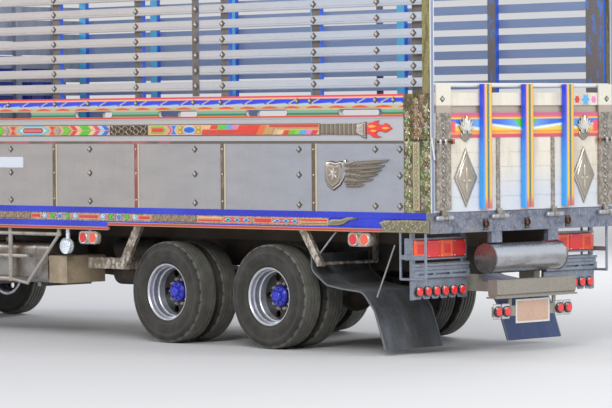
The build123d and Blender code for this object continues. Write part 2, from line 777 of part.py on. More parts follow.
def rack_slats():
    """Pressed slats: bevelled edges and a shallow bead along the outer face."""
    inner, outer, bevel = half_width - wall, half_width - relief, 8
    slats = []
    for index in range(slat_count):
        z = slat_bottom + slat_pitch * index
        top = z + slat_height
        low, high = z + slat_groove[0], z + slat_groove[1]
        points = [(inner, z), (outer - bevel, z), (outer, z + bevel), (outer, low),
                  (outer - 4, (low + high) / 2), (outer, high), (outer, top - bevel),
                  (outer - bevel, top), (inner, top)]
        plane = Plane(origin=(0, slat_end, 0), x_dir=(1, 0, 0), z_dir=(0, -1, 0))
        slats.append(extrude(plane * make_face(Polyline(*points, close=True)), slat_end - body_front))
    return slats


def front_wall():
    outer = half_width - wall
    inner_wall = body_front + wall
    shape = block((-outer, outer), (body_front, inner_wall), (body_base, waist_top))
    shape += block((-outer, outer), (body_front, inner_wall),
                   (overall_height - top_rail_height, overall_height))
    for x in wall_posts:
        shape += block((x - wall_post_half, x + wall_post_half), (inner_wall, inner_wall + post_depth),
                       (body_base, overall_height))
    for index in range(slat_count):
        z = slat_bottom + slat_pitch * index
        shape += block((-outer, outer), (body_front, inner_wall), (z, z + slat_height))
    return shape


def rear_column():
    """Embossed column beside the gate, and the narrow post that goes on above it."""
    x0, x1 = half_width - column_depth, half_width
    column = block((x0, x1), (column_y, rear_y), (body_base, waist_top))
    column = fillet(column.edges().filter_by(Axis.Z).group_by(Axis.X)[-1], 12)
    column -= block((x1 - column_groove, x1 + 1), (column_y - 1, rear_y + 1),
                    (column_seam - 3, column_seam + 3))
    post = block((x0, x1), (slat_end, rear_y), (waist_top - 1, overall_height))
    return column + fillet(post.edges().filter_by(Axis.Z).group_by(Axis.X)[-1], 12)


# Tailgate

def gate_panel():
    y0, y1 = rear_y - gate_thickness, rear_y
    low = body_base + gap
    panel = block((-gate_half, gate_half), (y0, y1), (low, band_bottom))
    panel += block((-gate_half, gate_half), (y0, y1 + band_proud), (band_bottom, band_top))
    panel += block((-gate_half, gate_half), (y0, y1 - 12), (band_top, recess_top))
    panel += block((-gate_half, gate_half), (y0, y1 + 4), (recess_top, board_top))
    for x in (-gate_half + 20, -gate_post_pitch, 0, gate_post_pitch, gate_half - 20):
        panel += block((x - 20, x + 20), (y0 + 5, y0 + 35), (board_top - 4, gate_top))
    panel += rod((-gate_half, y0 + 20, gate_top), (gate_half, y0 + 20, gate_top), 20)
    for z in plank_joints:
        panel -= block((-gate_half - 1, gate_half + 1), (y1 - 4, y1 + 1), (z - 4, z + 4))
    # Tall diamonds in relief, waisted between their points
    for side in (-1, 1):
        x, z = side * diamond_x, diamond_height
        wide, tall = diamond_half_width, diamond_half_height
        points = []
        for a, b in ((1, 0), (0.42, 0.54), (0, 1), (-0.42, 0.54), (-1, 0), (-0.42, -0.54), (0, -1),
                     (0.42, -0.54)):
            points.append((x + a * wide, z + b * tall))
        plane = Plane(origin=(0, y1 - 5, 0), x_dir=(1, 0, 0), z_dir=(0, -1, 0))
        panel += extrude(plane * make_face(Polyline(*points, close=True)), -11)
    return panel


def gate_posts():
    axis_y = rear_y + gate_hinge_out
    pieces = []
    half = gate_post_width / 2
    for x in (-gate_post_pitch, 0, gate_post_pitch):
        post = block((x - half, x + half), (rear_y + band_proud, rear_y + gate_post_proud),
                     (gate_foot, gate_top + 10))
        post = chamfer(post.edges().filter_by(Axis.Z).group_by(Axis.Y)[-1], 10)
        post += block((x - half, x + half), (rear_y, rear_y + 20), (gate_foot, band_bottom))
        pieces.append(post)
    stile_inner = gate_half - stile_width
    for side in (-1, 1):
        low, high = sorted((side * stile_inner, side * gate_half))
        stile = block((low, high), (rear_y + band_proud, rear_y + 22), (gate_foot, gate_top + 10))
        stile += block((low, high), (rear_y, rear_y + 20), (gate_foot, band_bottom))
        pieces.append(stile)
    for x in gate_hinge_places:
        strap = block((x - 28, x + 28), (rear_y, rear_y + 22), (gate_hinge_height + 16, gate_foot - 1))
        if abs(x) < stile_inner:
            strap += block((x - 22, x + 22), (rear_y, rear_y + 10), (gate_foot - 10, band_bottom - 1))
        strap -= block((x - 40, x + 40), (rear_y - 1, axis_y + 30), (gate_hinge_height + 15,
                                                                      body_base - 1))
        knuckle = rod((x - 30, axis_y, gate_hinge_height), (x + 30, axis_y, gate_hinge_height), 22)
        knuckle += block((x - 28, x + 28), (axis_y - 22, axis_y - 2), (gate_hinge_height, gate_foot - 1))
        strap += knuckle
        strap -= rod((x - 40, axis_y, gate_hinge_height), (x + 40, axis_y, gate_hinge_height),
                     gate_pin + fit)
        pieces.append(strap)
    return solids_of(*pieces)


# Rear end

def rear_bumper():
    half = rear_bumper_half
    z0, z1 = rear_bumper_bottom, rear_bumper_bottom + rear_bumper_height
    face = rear_y + bumper_overhang
    depth, arm_front = rear_bumper_depth, rail_rear_y - bumper_arm_reach
    beam = block((-half, half), (face - depth, face), (z0, z1))
    beam = chamfer(beam.edges().filter_by(Axis.X).group_by(Axis.Y)[-1], 12)
    for inner in (rail_outer - rail_flange, -rail_outer):
        beam += block((inner, inner + rail_flange), (arm_front, face - depth / 2), (z0 + 30, z1 - 20))
        beam += block((inner, inner + rail_flange), (arm_front, rail_rear_y - 20),
                      (z0 + 30, rail_bottom))
    # Flange under the box
    sheet, reach = bumper_flange_sheet, half + bumper_flange
    beam += block((-half, half), (face - depth + 10, face - 10), (z0 - 10, z0))
    beam += block((-reach, reach), (face - depth, face), (z0 - 10 - sheet, z0 - 10))
    carrier_y = rear_y + carrier_out
    for x in (-carrier_arm, carrier_arm):
        beam += block((x - 20, x + 20), (carrier_y - 15, carrier_y), (carrier_bottom, z0 + 20))
    beam += block((-half, half), (carrier_y - 15, carrier_y), (carrier_bottom, carrier_top))
    return beam


def number_plate():
    carrier_y = rear_y + carrier_out
    return block((-plate_half_width, plate_half_width), (carrier_y, carrier_y + 4),
                 (plate_bottom, plate_top))


def rear_drum():
    half = rear_drum_half
    drum = rod((-half, drum_y, rear_drum_height), (half, drum_y, rear_drum_height),
               rear_drum_radius)
    for x in (-half, half - 14):
        drum += rod((x, drum_y, rear_drum_height), (x + 14, drum_y, rear_drum_height),
                    rear_drum_radius + 4)
    for x in (-rail_outer + 40, rail_outer - 40):
        drum += block((x - 30, x + 30), (rail_rear_y, drum_y - 80),
                      (rear_drum_height - 90, rear_drum_height + 90))
    return drum


def lamp_frame():
    """Lamp housing, folded step plate, plate for the round lamps, and the bars beside them."""
    y = behind(lamp_plane)
    x0, x1 = lamp_inner, lamp_outer
    top = rail_underside
    frame = None
    sheet, margin = lamp_sheet, lamp_sheet + 5
    for low in (x0, x1 - lamp_strap):
        strap = block((low, low + lamp_strap), (y - 10 - lamp_strap_sheet, y - 10),
                      (lamp_strap_bottom, top))
        frame = strap if frame is None else frame + strap
    frame += block((x0, x1), (y - housing_depth, y), (lens_bottom - margin, lens_top + margin))
    frame -= block((x0 + sheet, x1 - sheet), (y - lens_depth, y + 1), (lens_bottom - 5, lens_top + 5))
    step = side_profile([(y + out, height) for out, height in step_fold], x0, x1)
    slot_room = (x1 - x0 - 4 * sheet) / step_slots
    for index in range(step_slots):
        low = x0 + 3 * sheet + slot_room * index
        step -= block((low, low + slot_room - 2 * sheet), (y + 8, y + 51),
                      (step_slot_bottom, step_slot_top))
    frame += step
    plate_bottom_edge = lamp_strap_bottom + 5
    plate = block((x0, x1), (y - 10, y), (plate_bottom_edge, round_plate_top))
    for index in range(round_lamp_count - 1):
        x = round_lamp_first + round_lamp_pitch * (index + 0.5)
        foot = plate_bottom_edge - 1
        notch = [(x - notch_half, foot), (x + notch_half, foot), (x, foot + notch_rise)]
        plane = Plane(origin=(0, y + 1, 0), x_dir=(1, 0, 0), z_dir=(0, -1, 0))
        plate -= extrude(plane * make_face(Polyline(*notch, close=True)), 12)
    frame += plate
    # Guard bars beside the lamps
    x, bar = x1 - 5, lamp_guard_bar
    front, rear = behind(lamp_guard_front), behind(lamp_guard_rear)
    upper, lower = lamp_guard_heights
    for place in (front, rear):
        frame += rod((x, place, lower), (x, place, top), bar)
        frame += Pos(x, place, lower) * Sphere(bar)
    frame += rod((x, front, lower), (x, rear, lower), bar)
    frame += block((x1 - 2, x1 + 8), (front, rear), (upper - 20, upper + 20))
    return frame


def rear_lamps():
    y = behind(lamp_plane)
    lamps = []
    room = lamp_outer - lamp_inner - 2 * lamp_sheet
    width = (room - lens_space * (lens_count + 1)) / lens_count
    for side in (-1, 1):
        for index in range(lens_count):
            x = lamp_inner + lamp_sheet + lens_space + (width + lens_space) * index
            low, high = sorted((side * x, side * (x + width)))
            lens = block((low, high), (y - lens_depth, y + 12), (lens_bottom, lens_top))
            lamps.append(chamfer(lens.edges().group_by(Axis.Y)[-1], 6))
        for index in range(round_lamp_count):
            centre = side * (round_lamp_first + round_lamp_pitch * index)
            lamps.append(round_lamp((centre, y, round_lamp_height), (0, 1, 0), round_lamp_radius, 30))
        for place in plate_lamp_places:
            centre = (side * place, rear_y + carrier_out, plate_lamp_height)
            lamps.append(round_lamp(centre, (0, 1, 0), plate_lamp_radius, 30))
    return solids_of(*lamps)


def round_lamp(foot, direction, radius, depth):
    """A round lamp: a bezel with a domed lens that stands a little out of it."""
    points = [(0, 0), (radius, 0), (radius, depth - 9), (radius - 5, depth - 7),
              (radius - 9, depth - 5), (radius * 0.55, depth - 1), (0, depth)]
    profile = Plane.XZ * make_face(Polyline(*points, close=True))
    return Plane(origin=foot, z_dir=direction) * revolve(profile, Axis.Z)


def side_lamps():
    """Twin lamps and one round lamp that hang from the side rail."""
    inner, outer, hanger = twin_lamp_inner, twin_lamp_outer, 20
    lamps = []
    for place, height in twin_lamps:
        y, half, rise = behind(place), twin_lamp_length / 2, twin_lamp_height / 2
        lamp = block((inner, outer), (y - half, y + half), (height - rise, height + rise))
        lamp = fillet(lamp.edges().filter_by(Axis.X), rise * 0.7)
        for middle in (y - half / 2, y + half / 2):
            lens = rod((outer - 1, middle, height), (outer + 9, middle, height), rise * 0.8)
            lamp += chamfer(lens.edges().group_by(Axis.X)[-1], 4)
        lamp += block((inner, inner + hanger), (y - 25, y + 25), (height, rail_underside))
        lamps.append(lamp)
    place, height = round_side_lamp
    y, radius = behind(place), round_side_lamp_radius
    lamp = round_lamp((inner, y, height), (1, 0, 0), radius, 48)
    lamp += block((inner, inner + hanger), (y - 20, y + 20), (height, rail_underside))
    lamps.append(lamp)
    return lamps


def flap_arm():
    top = rail_underside
    x0, x1 = flap_outer - 5, flap_outer + 35
    inner_end = flap_inner + 40
    rear = side_profile([(behind(flap_stay[0]), top), (behind(flap_stay[1]), top),
                         (behind(flap_bar - 30), flap_bar_height + 10),
                         (behind(flap_bar - 30), flap_bar_height - 20),
                         (behind(flap_bar + 30), flap_bar_height - 20)], x0, x1)
    rear += rod((inner_end, behind(flap_bar), flap_bar_height),
                (x1 - 5, behind(flap_bar), flap_bar_height), 15)
    rear += block((inner_end, inner_end + 40), (behind(flap_bar + 20), behind(flap_bar - 20)),
                  (flap_bar_height, bearer_bottom))
    for x in flap_clips:
        rear += block((x - flap_clip_half, x + flap_clip_half),
                      (behind(flap_top - flap_thickness / 2 - seat), behind(flap_bar)),
                      (flap_bar_height - 8, flap_bar_height + 8))
    foot = shelf_bottom + 30
    front = side_profile([(behind(step_stay[0]), top), (behind(step_stay[1]), top),
                          (behind(step_stay_foot[1]), foot), (behind(step_stay_foot[0]), foot)],
                         x0, x1)
    sheet = shelf_sheet
    shelf = block((x0 - shelf_width, x0 + 5), (behind(shelf_front), behind(shelf_rear)),
                  (shelf_bottom, shelf_top))
    shelf -= block((x0 - shelf_width + sheet, x0 - sheet),
                   (behind(shelf_front - sheet), behind(shelf_rear + sheet)),
                   (shelf_bottom + sheet + 6, shelf_top + 1))
    return [rear, front + shelf]


def mud_flap():
    path = FilletPolyline(*[(behind(place), height) for place, height in flap_line],
                          radius=flap_bends)
    plane = Plane(origin=(0, 0, 0), x_dir=(0, 1, 0), z_dir=(1, 0, 0))
    line = plane * path
    section = Plane(origin=line @ 0, x_dir=(1, 0, 0), z_dir=line % 0)
    sheet = sweep(section * Rectangle(flap_width, flap_thickness), path=line)
    return Pos(flap_outer - flap_width / 2, 0, 0) * sheet


# Front end

def front_bumper():
    half, depth = cab_half, bumper_depth
    outline = Pos(0, front_y + depth) * RectangleRounded(2 * half, 2 * depth, bumper_corner)
    inner = Pos(0, front_y + depth) * RectangleRounded(2 * (half - bumper_thickness),
                                                       2 * (depth - bumper_thickness),
                                                       bumper_corner - bumper_thickness)
    ring = outline - inner
    ring -= Pos(0, front_y + 2 * depth) * Rectangle(3 * half, 2 * depth)
    bumper = Pos(0, 0, bumper_bottom) * extrude(ring, bumper_top - bumper_bottom)
    through = (front_y - 10, front_y + bumper_thickness + 10)
    for side in (-1, 1):
        low, high = sorted((side * headlamp_inner, side * headlamp_outer))
        bumper -= block((low, high), through, (headlamp_bottom, headlamp_top))
        low, high = sorted((side * fog_inner, side * fog_outer))
        bumper -= block((low, high), (front_y - 10, front_y + 25),
                        (headlamp_bottom + 20, headlamp_top - 30))
    for index in range(intake_rows):
        z = bumper_bottom + 60 + 55 * index
        bumper -= block((-intake_half, intake_half), (front_y - 10, front_y + 25), (z, z + 30))
    return bumper


def headlamps():
    lamps = []
    for side in (-1, 1):
        low, high = sorted((side * (headlamp_inner + seat), side * (headlamp_outer - seat)))
        lamp = block((low, high), (front_y + 6, front_y + bumper_thickness),
                     (headlamp_bottom + seat, headlamp_top - seat))
        lamps.append(chamfer(lamp.edges().group_by(Axis.Y)[0], 8))
    return solids_of(*lamps)


def front_fender():
    y, sheet = front_axle_y, fender_sheet
    foot, hip, crown = fender_rise
    outer_points = [(foot[0] + sheet, foot[1]), (hip[0] + sheet, hip[1] + 6),
                    (crown[0] + 8, crown[1] + sheet)]
    outline = ([(y - a, b) for a, b in outer_points] + [(y + a, b) for a, b in reversed(outer_points)]
               + [(y + a, b) for a, b in fender_rise]
               + [(y - a, b) for a, b in reversed(fender_rise)])
    fender = side_profile(outline, fender_inner, fender_outer)
    step_y0, step_y1 = front_y + 290, y - foot[0]
    steps = block((step_inner, fender_outer), (step_y0, step_y1), (step_bottom, step_top))
    for low, high in step_holes:
        steps -= block((step_inner + 30, fender_outer + 1), (step_y0 + sheet, step_y1 - sheet),
                       (low, high))
    fender += steps
    for place in (y - foot[0] - sheet / 2, y + foot[0] + sheet / 2):
        fender += rod((rail_outer, place, hip[1] + 20), (fender_inner + 5, place, hip[1] + 20), 18)
    return fender


# Cab

def cab_outline(inset):
    """The cab's side view, drawn in by the wall's thickness."""
    return [(cab_front_y + inset, cab_bottom + inset), (cab_front_y + inset, cab_belt),
            (cab_front_y + cab_rake + inset, cab_roof - 80 - inset / 2),
            (cab_front_y + cab_rake + 90 + inset / 2, cab_roof - inset),
            (cab_back_y - 50 - inset / 2, cab_roof - inset),
            (cab_back_y - inset, cab_roof - 50 - inset / 2), (cab_back_y - inset, cab_bottom + inset)]


def whole_cab():
    shell = side_profile(cab_outline(0), -cab_half, cab_half)
    uprights = shell.edges().filter_by(lambda edge: abs(abs(edge.center().X) - cab_half) < 1
                                       and edge.center().Z > cab_bottom + 10)
    shell = fillet(uprights, 45)
    shell -= side_profile(cab_outline(cab_wall), -cab_half + cab_wall, cab_half - cab_wall)
    shell += block((-cab_half + 45, cab_half - 45), (cab_front_y, cab_front_y + cab_wall),
                   (cab_bottom - cab_skirt, cab_bottom + 20))
    # Windscreen, door openings and back window
    shell -= block((-windscreen_half, windscreen_half),
                   (cab_front_y - 10, cab_front_y + 2 * cab_rake + cab_wall),
                   (windscreen_bottom, windscreen_top))
    for side in (-1, 1):
        low, high = sorted((side * (cab_half - cab_wall - 1), side * (cab_half + 1)))
        shell -= block((low, high), (door_y0 - gap, door_y1 + gap), (cab_bottom + cab_wall, door_top))
    shell -= block((-back_window_half, back_window_half), (cab_back_y - cab_wall - 1, cab_back_y + 1),
                   (back_window_bottom, back_window_top))
    # Sun visor over the windscreen
    brow_y = cab_front_y + (windscreen_top + 40 - cab_belt) * screen_slope + 8
    brow_z = windscreen_top + 55
    shell += side_profile([(brow_y, brow_z + 25), (brow_y - visor_reach, brow_z - 55),
                           (brow_y - visor_reach, brow_z - 67), (brow_y, brow_z)],
                          -visor_half, visor_half)
    # Pressed ribs on the back panel
    for x in cab_ribs:
        shell += block((x - cab_rib_half, x + cab_rib_half),
                       (cab_back_y - 1, cab_back_y + cab_rib_proud), (cab_bottom + 200, cab_roof - 180))
    # Engine tunnel
    tunnel_front = engine_front - 80
    shell += block((-tunnel_half - cab_wall, tunnel_half + cab_wall),
                   (tunnel_front - cab_wall, cab_back_y - cab_wall / 2),
                   (cab_bottom, tunnel_top + cab_wall))
    shell -= block((-tunnel_half, tunnel_half), (tunnel_front, cab_back_y + 1),
                   (cab_bottom - 1, tunnel_top))
    # Tilt eyes
    for side in (-1, 1):
        low, high = sorted((side * (rail_outer + 30), side * (rail_outer + 72)))
        eye = rod((low, pivot_y, pivot_height), (high, pivot_y, pivot_height), 50)
        eye += block((low, high), (pivot_y - 50, pivot_y + 50), (pivot_height, cab_bottom + 20))
        eye -= rod((low - 10, pivot_y, pivot_height), (high + 10, pivot_y, pivot_height),
                   pivot_radius + fit)
        shell += eye
    # Door hinge knuckles and pins on the front pillars
    for side in (-1, 1):
        x = side * (cab_half + door_hinge_out)
        y = door_y0 - door_hinge_ahead
        for z in door_hinge_heights:
            for low in (z - 40, z + 22):
                shell += rod((x, y, low), (x, y, low + 18), hinge_radius)
                a, b = sorted((side * (cab_half - 10), x))
                shell += block((a, b), (y - 40, y), (low, low + 18))
            shell += rod((x, y, z - 40), (x, y, z + 40), hinge_radius - 5)
    return shell


def cab_panels():
    """The cab split where its pressed panels meet: front, back, floor, and roof with side frames."""
    shell = whole_cab()
    low, high, reach = cab_bottom - cab_skirt - 100, cab_roof + 10, cab_half + 100
    inner_y = cab_front_y + cab_wall
    ahead = cab_front_y - visor_reach
    front_space = side_profile([(ahead, low), (inner_y, low), (inner_y, cab_belt),
                                (inner_y + (high - cab_belt) * screen_slope, high), (ahead, high)],
                               -reach, reach)
    back_space = block((-reach, reach), (cab_back_y - cab_wall, cab_back_y + 50), (low, high))
    floor_space = block((-cab_half + cab_wall, cab_half - cab_wall),
                        (inner_y, cab_back_y - cab_wall), (pivot_height - 100,
                                                           tunnel_top + cab_wall + 1))
    return {
        "cab_front": shell & front_space,
        "cab_back": shell & back_space,
        "cab_floor": shell & floor_space,
        "cab_shell": shell - front_space - back_space - floor_space,
    }


def cab_glass():
    lower, upper = windscreen_bottom, windscreen_top
    depth = cab_front_y + 18
    y0 = depth + (lower - cab_belt) * screen_slope
    y1 = depth + (upper - cab_belt) * screen_slope
    screen = side_profile([(y0, lower), (y0 + 8, lower), (y1 + 8, upper), (y1, upper)],
                          -windscreen_half, windscreen_half)
    back = block((-back_window_half, back_window_half), (cab_back_y - 30, cab_back_y - 24),
                 (back_window_bottom, back_window_top))
    return solids_of(screen, back)


def seat_solid(x):
    y, z, depth, top = seat_front_y, seat_height, seat_depth, seat_back_top
    base = block((x - 200, x + 200), (y + 80, y + depth - 60), (cab_bottom + cab_wall, z))
    cushion = block((x - 260, x + 260), (y, y + depth), (z, z + 130))
    cushion = fillet(cushion.edges().filter_by(Axis.X), 35)
    back = side_profile([(y + depth - 60, z + 120), (y + depth + 60, z + 120),
                         (y + depth + 150, top), (y + depth + 50, top)], x - 250, x + 250)
    return base + cushion + back


def cab_interior():
    inner_front = cab_front_y + cab_wall
    half = cab_half - cab_wall
    lower, middle, upper = [inner_front + reach for reach in dash_reach]
    dash = side_profile([(inner_front, dash_bottom), (lower, dash_bottom), (middle, dash_belly),
                         (upper, dash_brow), (inner_front, dash_top)], -half, half)
    # Steering wheel on its column, at the right-hand seat
    centre_x, centre_back, centre_z = wheel_centre
    hub = Vector(centre_x, inner_front + centre_back, centre_z)
    down = Vector(0, -sin(radians(35)), -cos(radians(35)))
    ring = wheel_ring_radius
    wheel = Torus(ring, wheel_ring_bar) + Box(2 * ring - 4, 40, 12)
    wheel += Pos(0, ring / 2, 0) * Box(40, ring - 5, 12)
    wheel += Pos(0, 0, 140) * Cylinder(28, 300)
    steering = Plane(origin=hub, x_dir=(1, 0, 0), z_dir=down) * wheel
    return solids_of(dash + steering, seat_solid(-seat_x), seat_solid(seat_x))


def grille():
    y0, y1 = cab_front_y - 14, cab_front_y
    frame = block((-grille_half, grille_half), (y0, y1), (grille_bottom, grille_top))
    frame = fillet(frame.edges().filter_by(Axis.Y), 30)
    pitch = (grille_top - grille_bottom - 40) / grille_slots
    for index in range(grille_slots):
        z = grille_bottom + 35 + pitch * index
        frame -= block((-grille_half + 40, grille_half - 40), (y0 - 1, y1 + 1), (z, z + pitch - 30))
    for x in (-grille_half / 2, 0, grille_half / 2):
        frame += block((x - 12, x + 12), (y0 + 4, y1), (grille_bottom + 10, grille_top - 10))
    return frame


def mirror_set():
    x, y, bar = cab_half, front_y + 240, cab_half + mirror_bar
    arms = rod((bar, y, mirror_low - 12), (bar, y, mirror_high + 12), 14)
    for z in (mirror_low, mirror_high):
        arms += rod((x, y, z), (bar, y, z), 10)
    head_top = mirror_high - mirror_head_drop
    head = block((x + mirror_inner, x + mirror_outer), (y - 60, y),
                 (head_top - mirror_head, head_top))
    head = fillet(head.edges().filter_by(Axis.Y), 30)
    return arms + head


def door():
    x0, x1 = cab_half - cab_wall, cab_half
    z0, z1 = cab_bottom + cab_wall + gap, door_top - gap
    slab = block((x0, x1), (door_y0, door_y1), (z0, z1))
    slab -= block((x0 - 1, x1 + 1), (door_y0 + window_front, door_y1 - window_rear),
                  (window_bottom, z1 - 80))
    # Handle recess and the pressed line below the window
    slab -= block((x1 - 15, x1 + 1), (door_y1 - handle_hollow[0], door_y1 - handle_hollow[1]),
                  (window_bottom - 150, window_bottom - 80))
    slab -= block((x1 - 6, x1 + 1), (door_y0 + 60, door_y1 - 60),
                  (z0 + door_line, z0 + door_line + 15))
    x, y = cab_half + door_hinge_out, door_y0 - door_hinge_ahead
    for z in door_hinge_heights:
        slab += rod((x, y, z - 20), (x, y, z + 20), hinge_radius)
        slab += block((x1 + 2, x), (y, door_y0 + 45), (z - 20, z + 20))
        slab += block((x1 - 10, x), (door_y0 + 5, door_y0 + 45), (z - 20, z + 20))
        slab -= rod((x, y, z - 30), (x, y, z + 30), hinge_radius - 5 + fit)
    return slab


def door_glass():
    x = cab_half - cab_wall / 2
    return block((x - 3, x + 3), (door_y0 + window_front, door_y1 - window_rear),
                 (window_bottom, door_top - gap - 80))


# Wheels and steering

def knuckle():
    x, y, z = kingpin_offset, front_axle_y, tyre_radius
    pin = rod((x, y, z - 90), (x, y, z + 90), kingpin_radius)
    ears = None
    for low, high in ((z - 90, z - 42), (z + 42, z + 90)):
        ear = rod((x, y, low), (x, y, high), 42)
        ear += block((x, x + 62), (y - 42, y + 42), (low, high))
        ears = ear if ears is None else ears + ear
    plate = block((x + 50, x + 72), (y - 42, y + 42), (z - 90, z + 90))
    spindle = rod((x + 60, y, z), (front_tyre + front_hub_nose - 20, y, z), spindle_radius - 5)
    arm = block((x - 18, x + 18), (y + 20, y + arm_length), (z - 85, z - 60))
    arm += rod((x, y + arm_length, z - 85), (x, y + arm_length, z - 60), 30)
    arm += rod((x, y + arm_length, z - 120), (x, y + arm_length, z - 60), 12)
    return pin + ears + plate + spindle + arm


def tie_rod():
    y, z = front_axle_y + arm_length, tyre_radius - tie_rod_drop
    bar = rod((-kingpin_offset, y, z), (kingpin_offset, y, z), 16)
    for x in (-kingpin_offset, kingpin_offset):
        bar += rod((x, y, z - 17), (x, y, z + 17), 28)
        bar -= rod((x, y, z - 30), (x, y, z + 30), 12 + fit)
    return bar


def rim_steps_down(edge, disc_face):
    """The stepped inside of a rim, from its outer lip down to the disc."""
    lip = [(edge, rim_flange_radius - 6), (edge - 5, rim_flange_radius - 10)]
    steps = [(edge - depth, radius) for depth, radius in rim_steps if edge - depth > disc_face]
    return lip + steps + [(disc_face, steps[-1][1])]


def hand_holes(centre, x0, x1):
    """Round holes through a wheel's disc."""
    holes = []
    for index in range(hand_hole_count):
        angle = radians(36 + 360 / hand_hole_count * index)
        y = centre[1] + hand_hole_circle * cos(angle)
        z = centre[2] + hand_hole_circle * sin(angle)
        holes.append(rod((x0, y, z), (x1, y, z), hand_hole_radius))
    return holes


def rim_section(centre, half, bore, disc):
    """Outline of a rim with its disc and hub; disc is the (low, high) place of the disc."""
    barrel, inner = rim_barrel_radius, rim_barrel_radius - rim_thickness
    flange, lip, nose = rim_flange_radius, flange_thickness, centre + front_hub_nose
    return [(centre - half, inner), (centre - half, flange), (centre - half + lip, flange),
            (centre - half + lip, barrel), (centre + half - lip, barrel),
            (centre + half - lip, flange), (centre + half, flange),
            *rim_steps_down(centre + half, disc[1]), (disc[1], hub_radius), (nose - 10, hub_radius),
            (nose, hub_radius - 12), (nose, bore), (disc[0] - 60, bore), (disc[0] - 60, hub_radius),
            (disc[0], hub_radius), (disc[0], inner)]


def front_rim():
    half = bead_width / 2 + flange_thickness
    disc = (front_tyre + front_disc, front_tyre + front_disc + disc_thickness)
    points = rim_section(front_tyre, half, spindle_radius - 5 + fit, disc)
    centre = (0, front_axle_y, tyre_radius)
    return turned(points, centre) - hand_holes(centre, disc[0] - 1, disc[1] + 1)


def front_tyre_solid():
    return turned(tyre_outline(front_tyre), (0, front_axle_y, tyre_radius))


def rear_rims(y):
    inner_tyre = outer_tyre - twin_spacing
    half = bead_width / 2 + flange_thickness
    middle = (inner_tyre + outer_tyre) / 2
    barrel, bore = rim_barrel_radius, spindle_radius + fit
    inside, flange, lip = barrel - rim_thickness, rim_flange_radius, flange_thickness
    face = outer_tyre + tyre_width / 2 - hub_reach
    disc_face = outer_tyre + tyre_width / 2 - disc_reach
    disc_back = disc_face - disc_thickness
    points = [(inner_tyre - half, inside)]
    for start, end in ((inner_tyre - half, inner_tyre + half), (outer_tyre - half, outer_tyre + half)):
        points += [(start, flange), (start + lip, flange), (start + lip, barrel),
                   (end - lip, barrel), (end - lip, flange), (end, flange)]
        if end < middle:
            points += [(end, barrel), (outer_tyre - half, barrel)]
    drum_start = inner_tyre - tyre_width / 2 - 55
    points += [*rim_steps_down(outer_tyre + half, disc_face), (disc_face, hub_radius),
               (face - 10, hub_radius), (face, hub_radius - 12), (face, bore), (drum_start + 60, bore),
               (drum_start + 60, drum_radius - 30), (drum_start, drum_radius - 30),
               (drum_start, drum_radius), (middle - 80, drum_radius), (middle - 80, hub_flange_radius),
               (disc_back, hub_flange_radius), (disc_back, inside)]
    centre = (0, y, tyre_radius)
    return turned(points, centre) - hand_holes(centre, disc_back - 1, disc_face + 1)


def rear_tyres(y):
    centre = (0, y, tyre_radius)
    outer = turned(tyre_outline(outer_tyre), centre)
    inner = turned(tyre_outline(outer_tyre - twin_spacing), centre)
    return solids_of(outer, inner)


parts = {
    "chassis_frame": chassis_frame(),
    "engine_block": engine_block(),
    "axles": axles(),
    "leaf_springs": leaf_springs(),
    "propeller_shafts": propeller_shafts(),
    "fuel_tank": fuel_tank(),
    "battery_box": battery_box(),
    "air_tanks": air_tanks(),
    "exhaust": exhaust(),
    "spare_wheel": spare_wheel(),
    "side_guards": pair(side_guard()),
    "bed_floor": bed_floor(),
    "side_rails": pair(side_rail()),
    "rear_sill": rear_sill(),
    "side_panels": pair(side_panel()),
    "waist_bands": pair(waist_band()),
    "rack_posts": pair(rack_posts()),
    "rack_slats": solids_of(*rack_slats(), *[across(slat) for slat in rack_slats()]),
    "front_wall": front_wall(),
    "rear_columns": pair(rear_column()),
    "mud_flaps": pair(mud_flap()),
    "flap_arms": solids_of(*flap_arm(), *[across(arm) for arm in flap_arm()]),
    "rear_bumper": rear_bumper(),
    "number_plate": number_plate(),
    "rear_drum": rear_drum(),
    "lamp_frames": pair(lamp_frame()),
    "rear_lamps": rear_lamps(),
    "side_lamps": solids_of(*side_lamps(), *[across(lamp) for lamp in side_lamps()]),
    "front_bumper": front_bumper(),
    "headlamps": headlamps(),
    "front_fenders": pair(front_fender()),
    **cab_panels(),
    "cab_glass": cab_glass(),
    "cab_interior": cab_interior(),
    "grille": grille(),
    "mirrors": pair(mirror_set()),
    "gate_panel": gate_panel(),
    "gate_posts": gate_posts(),
    "tie_rod": tie_rod(),
}
for side_name, place in (("left", lambda shape: shape), ("right", across)):
    parts["door_" + side_name] = place(door())
    parts["door_glass_" + side_name] = place(door_glass())
    parts["knuckle_" + side_name] = place(knuckle())
    parts["front_rim_" + side_name] = place(front_rim())
    parts["front_tyre_" + side_name] = place(front_tyre_solid())
    for axle_name, axle_y in (("mid", mid_axle_y), ("rear", rear_axle_y)):
        parts[f"{axle_name}_rims_{side_name}"] = place(rear_rims(axle_y))
        parts[f"{axle_name}_tyres_{side_name}"] = place(rear_tyres(axle_y))

os.makedirs("parts", exist_ok=True)
for name, shape in parts.items():
    export_step(shape, f"parts/{name}.step")
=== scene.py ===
"""The looks of a decorated ten-wheel cargo truck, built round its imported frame.

Metres. +X is the truck's left side, the front faces -Y and Z = 0 is the road.
"""
import math
from functools import partialmethod
from math import cos, pi, radians, sin

import bmesh
import bpy
from mathutils import Matrix, Vector


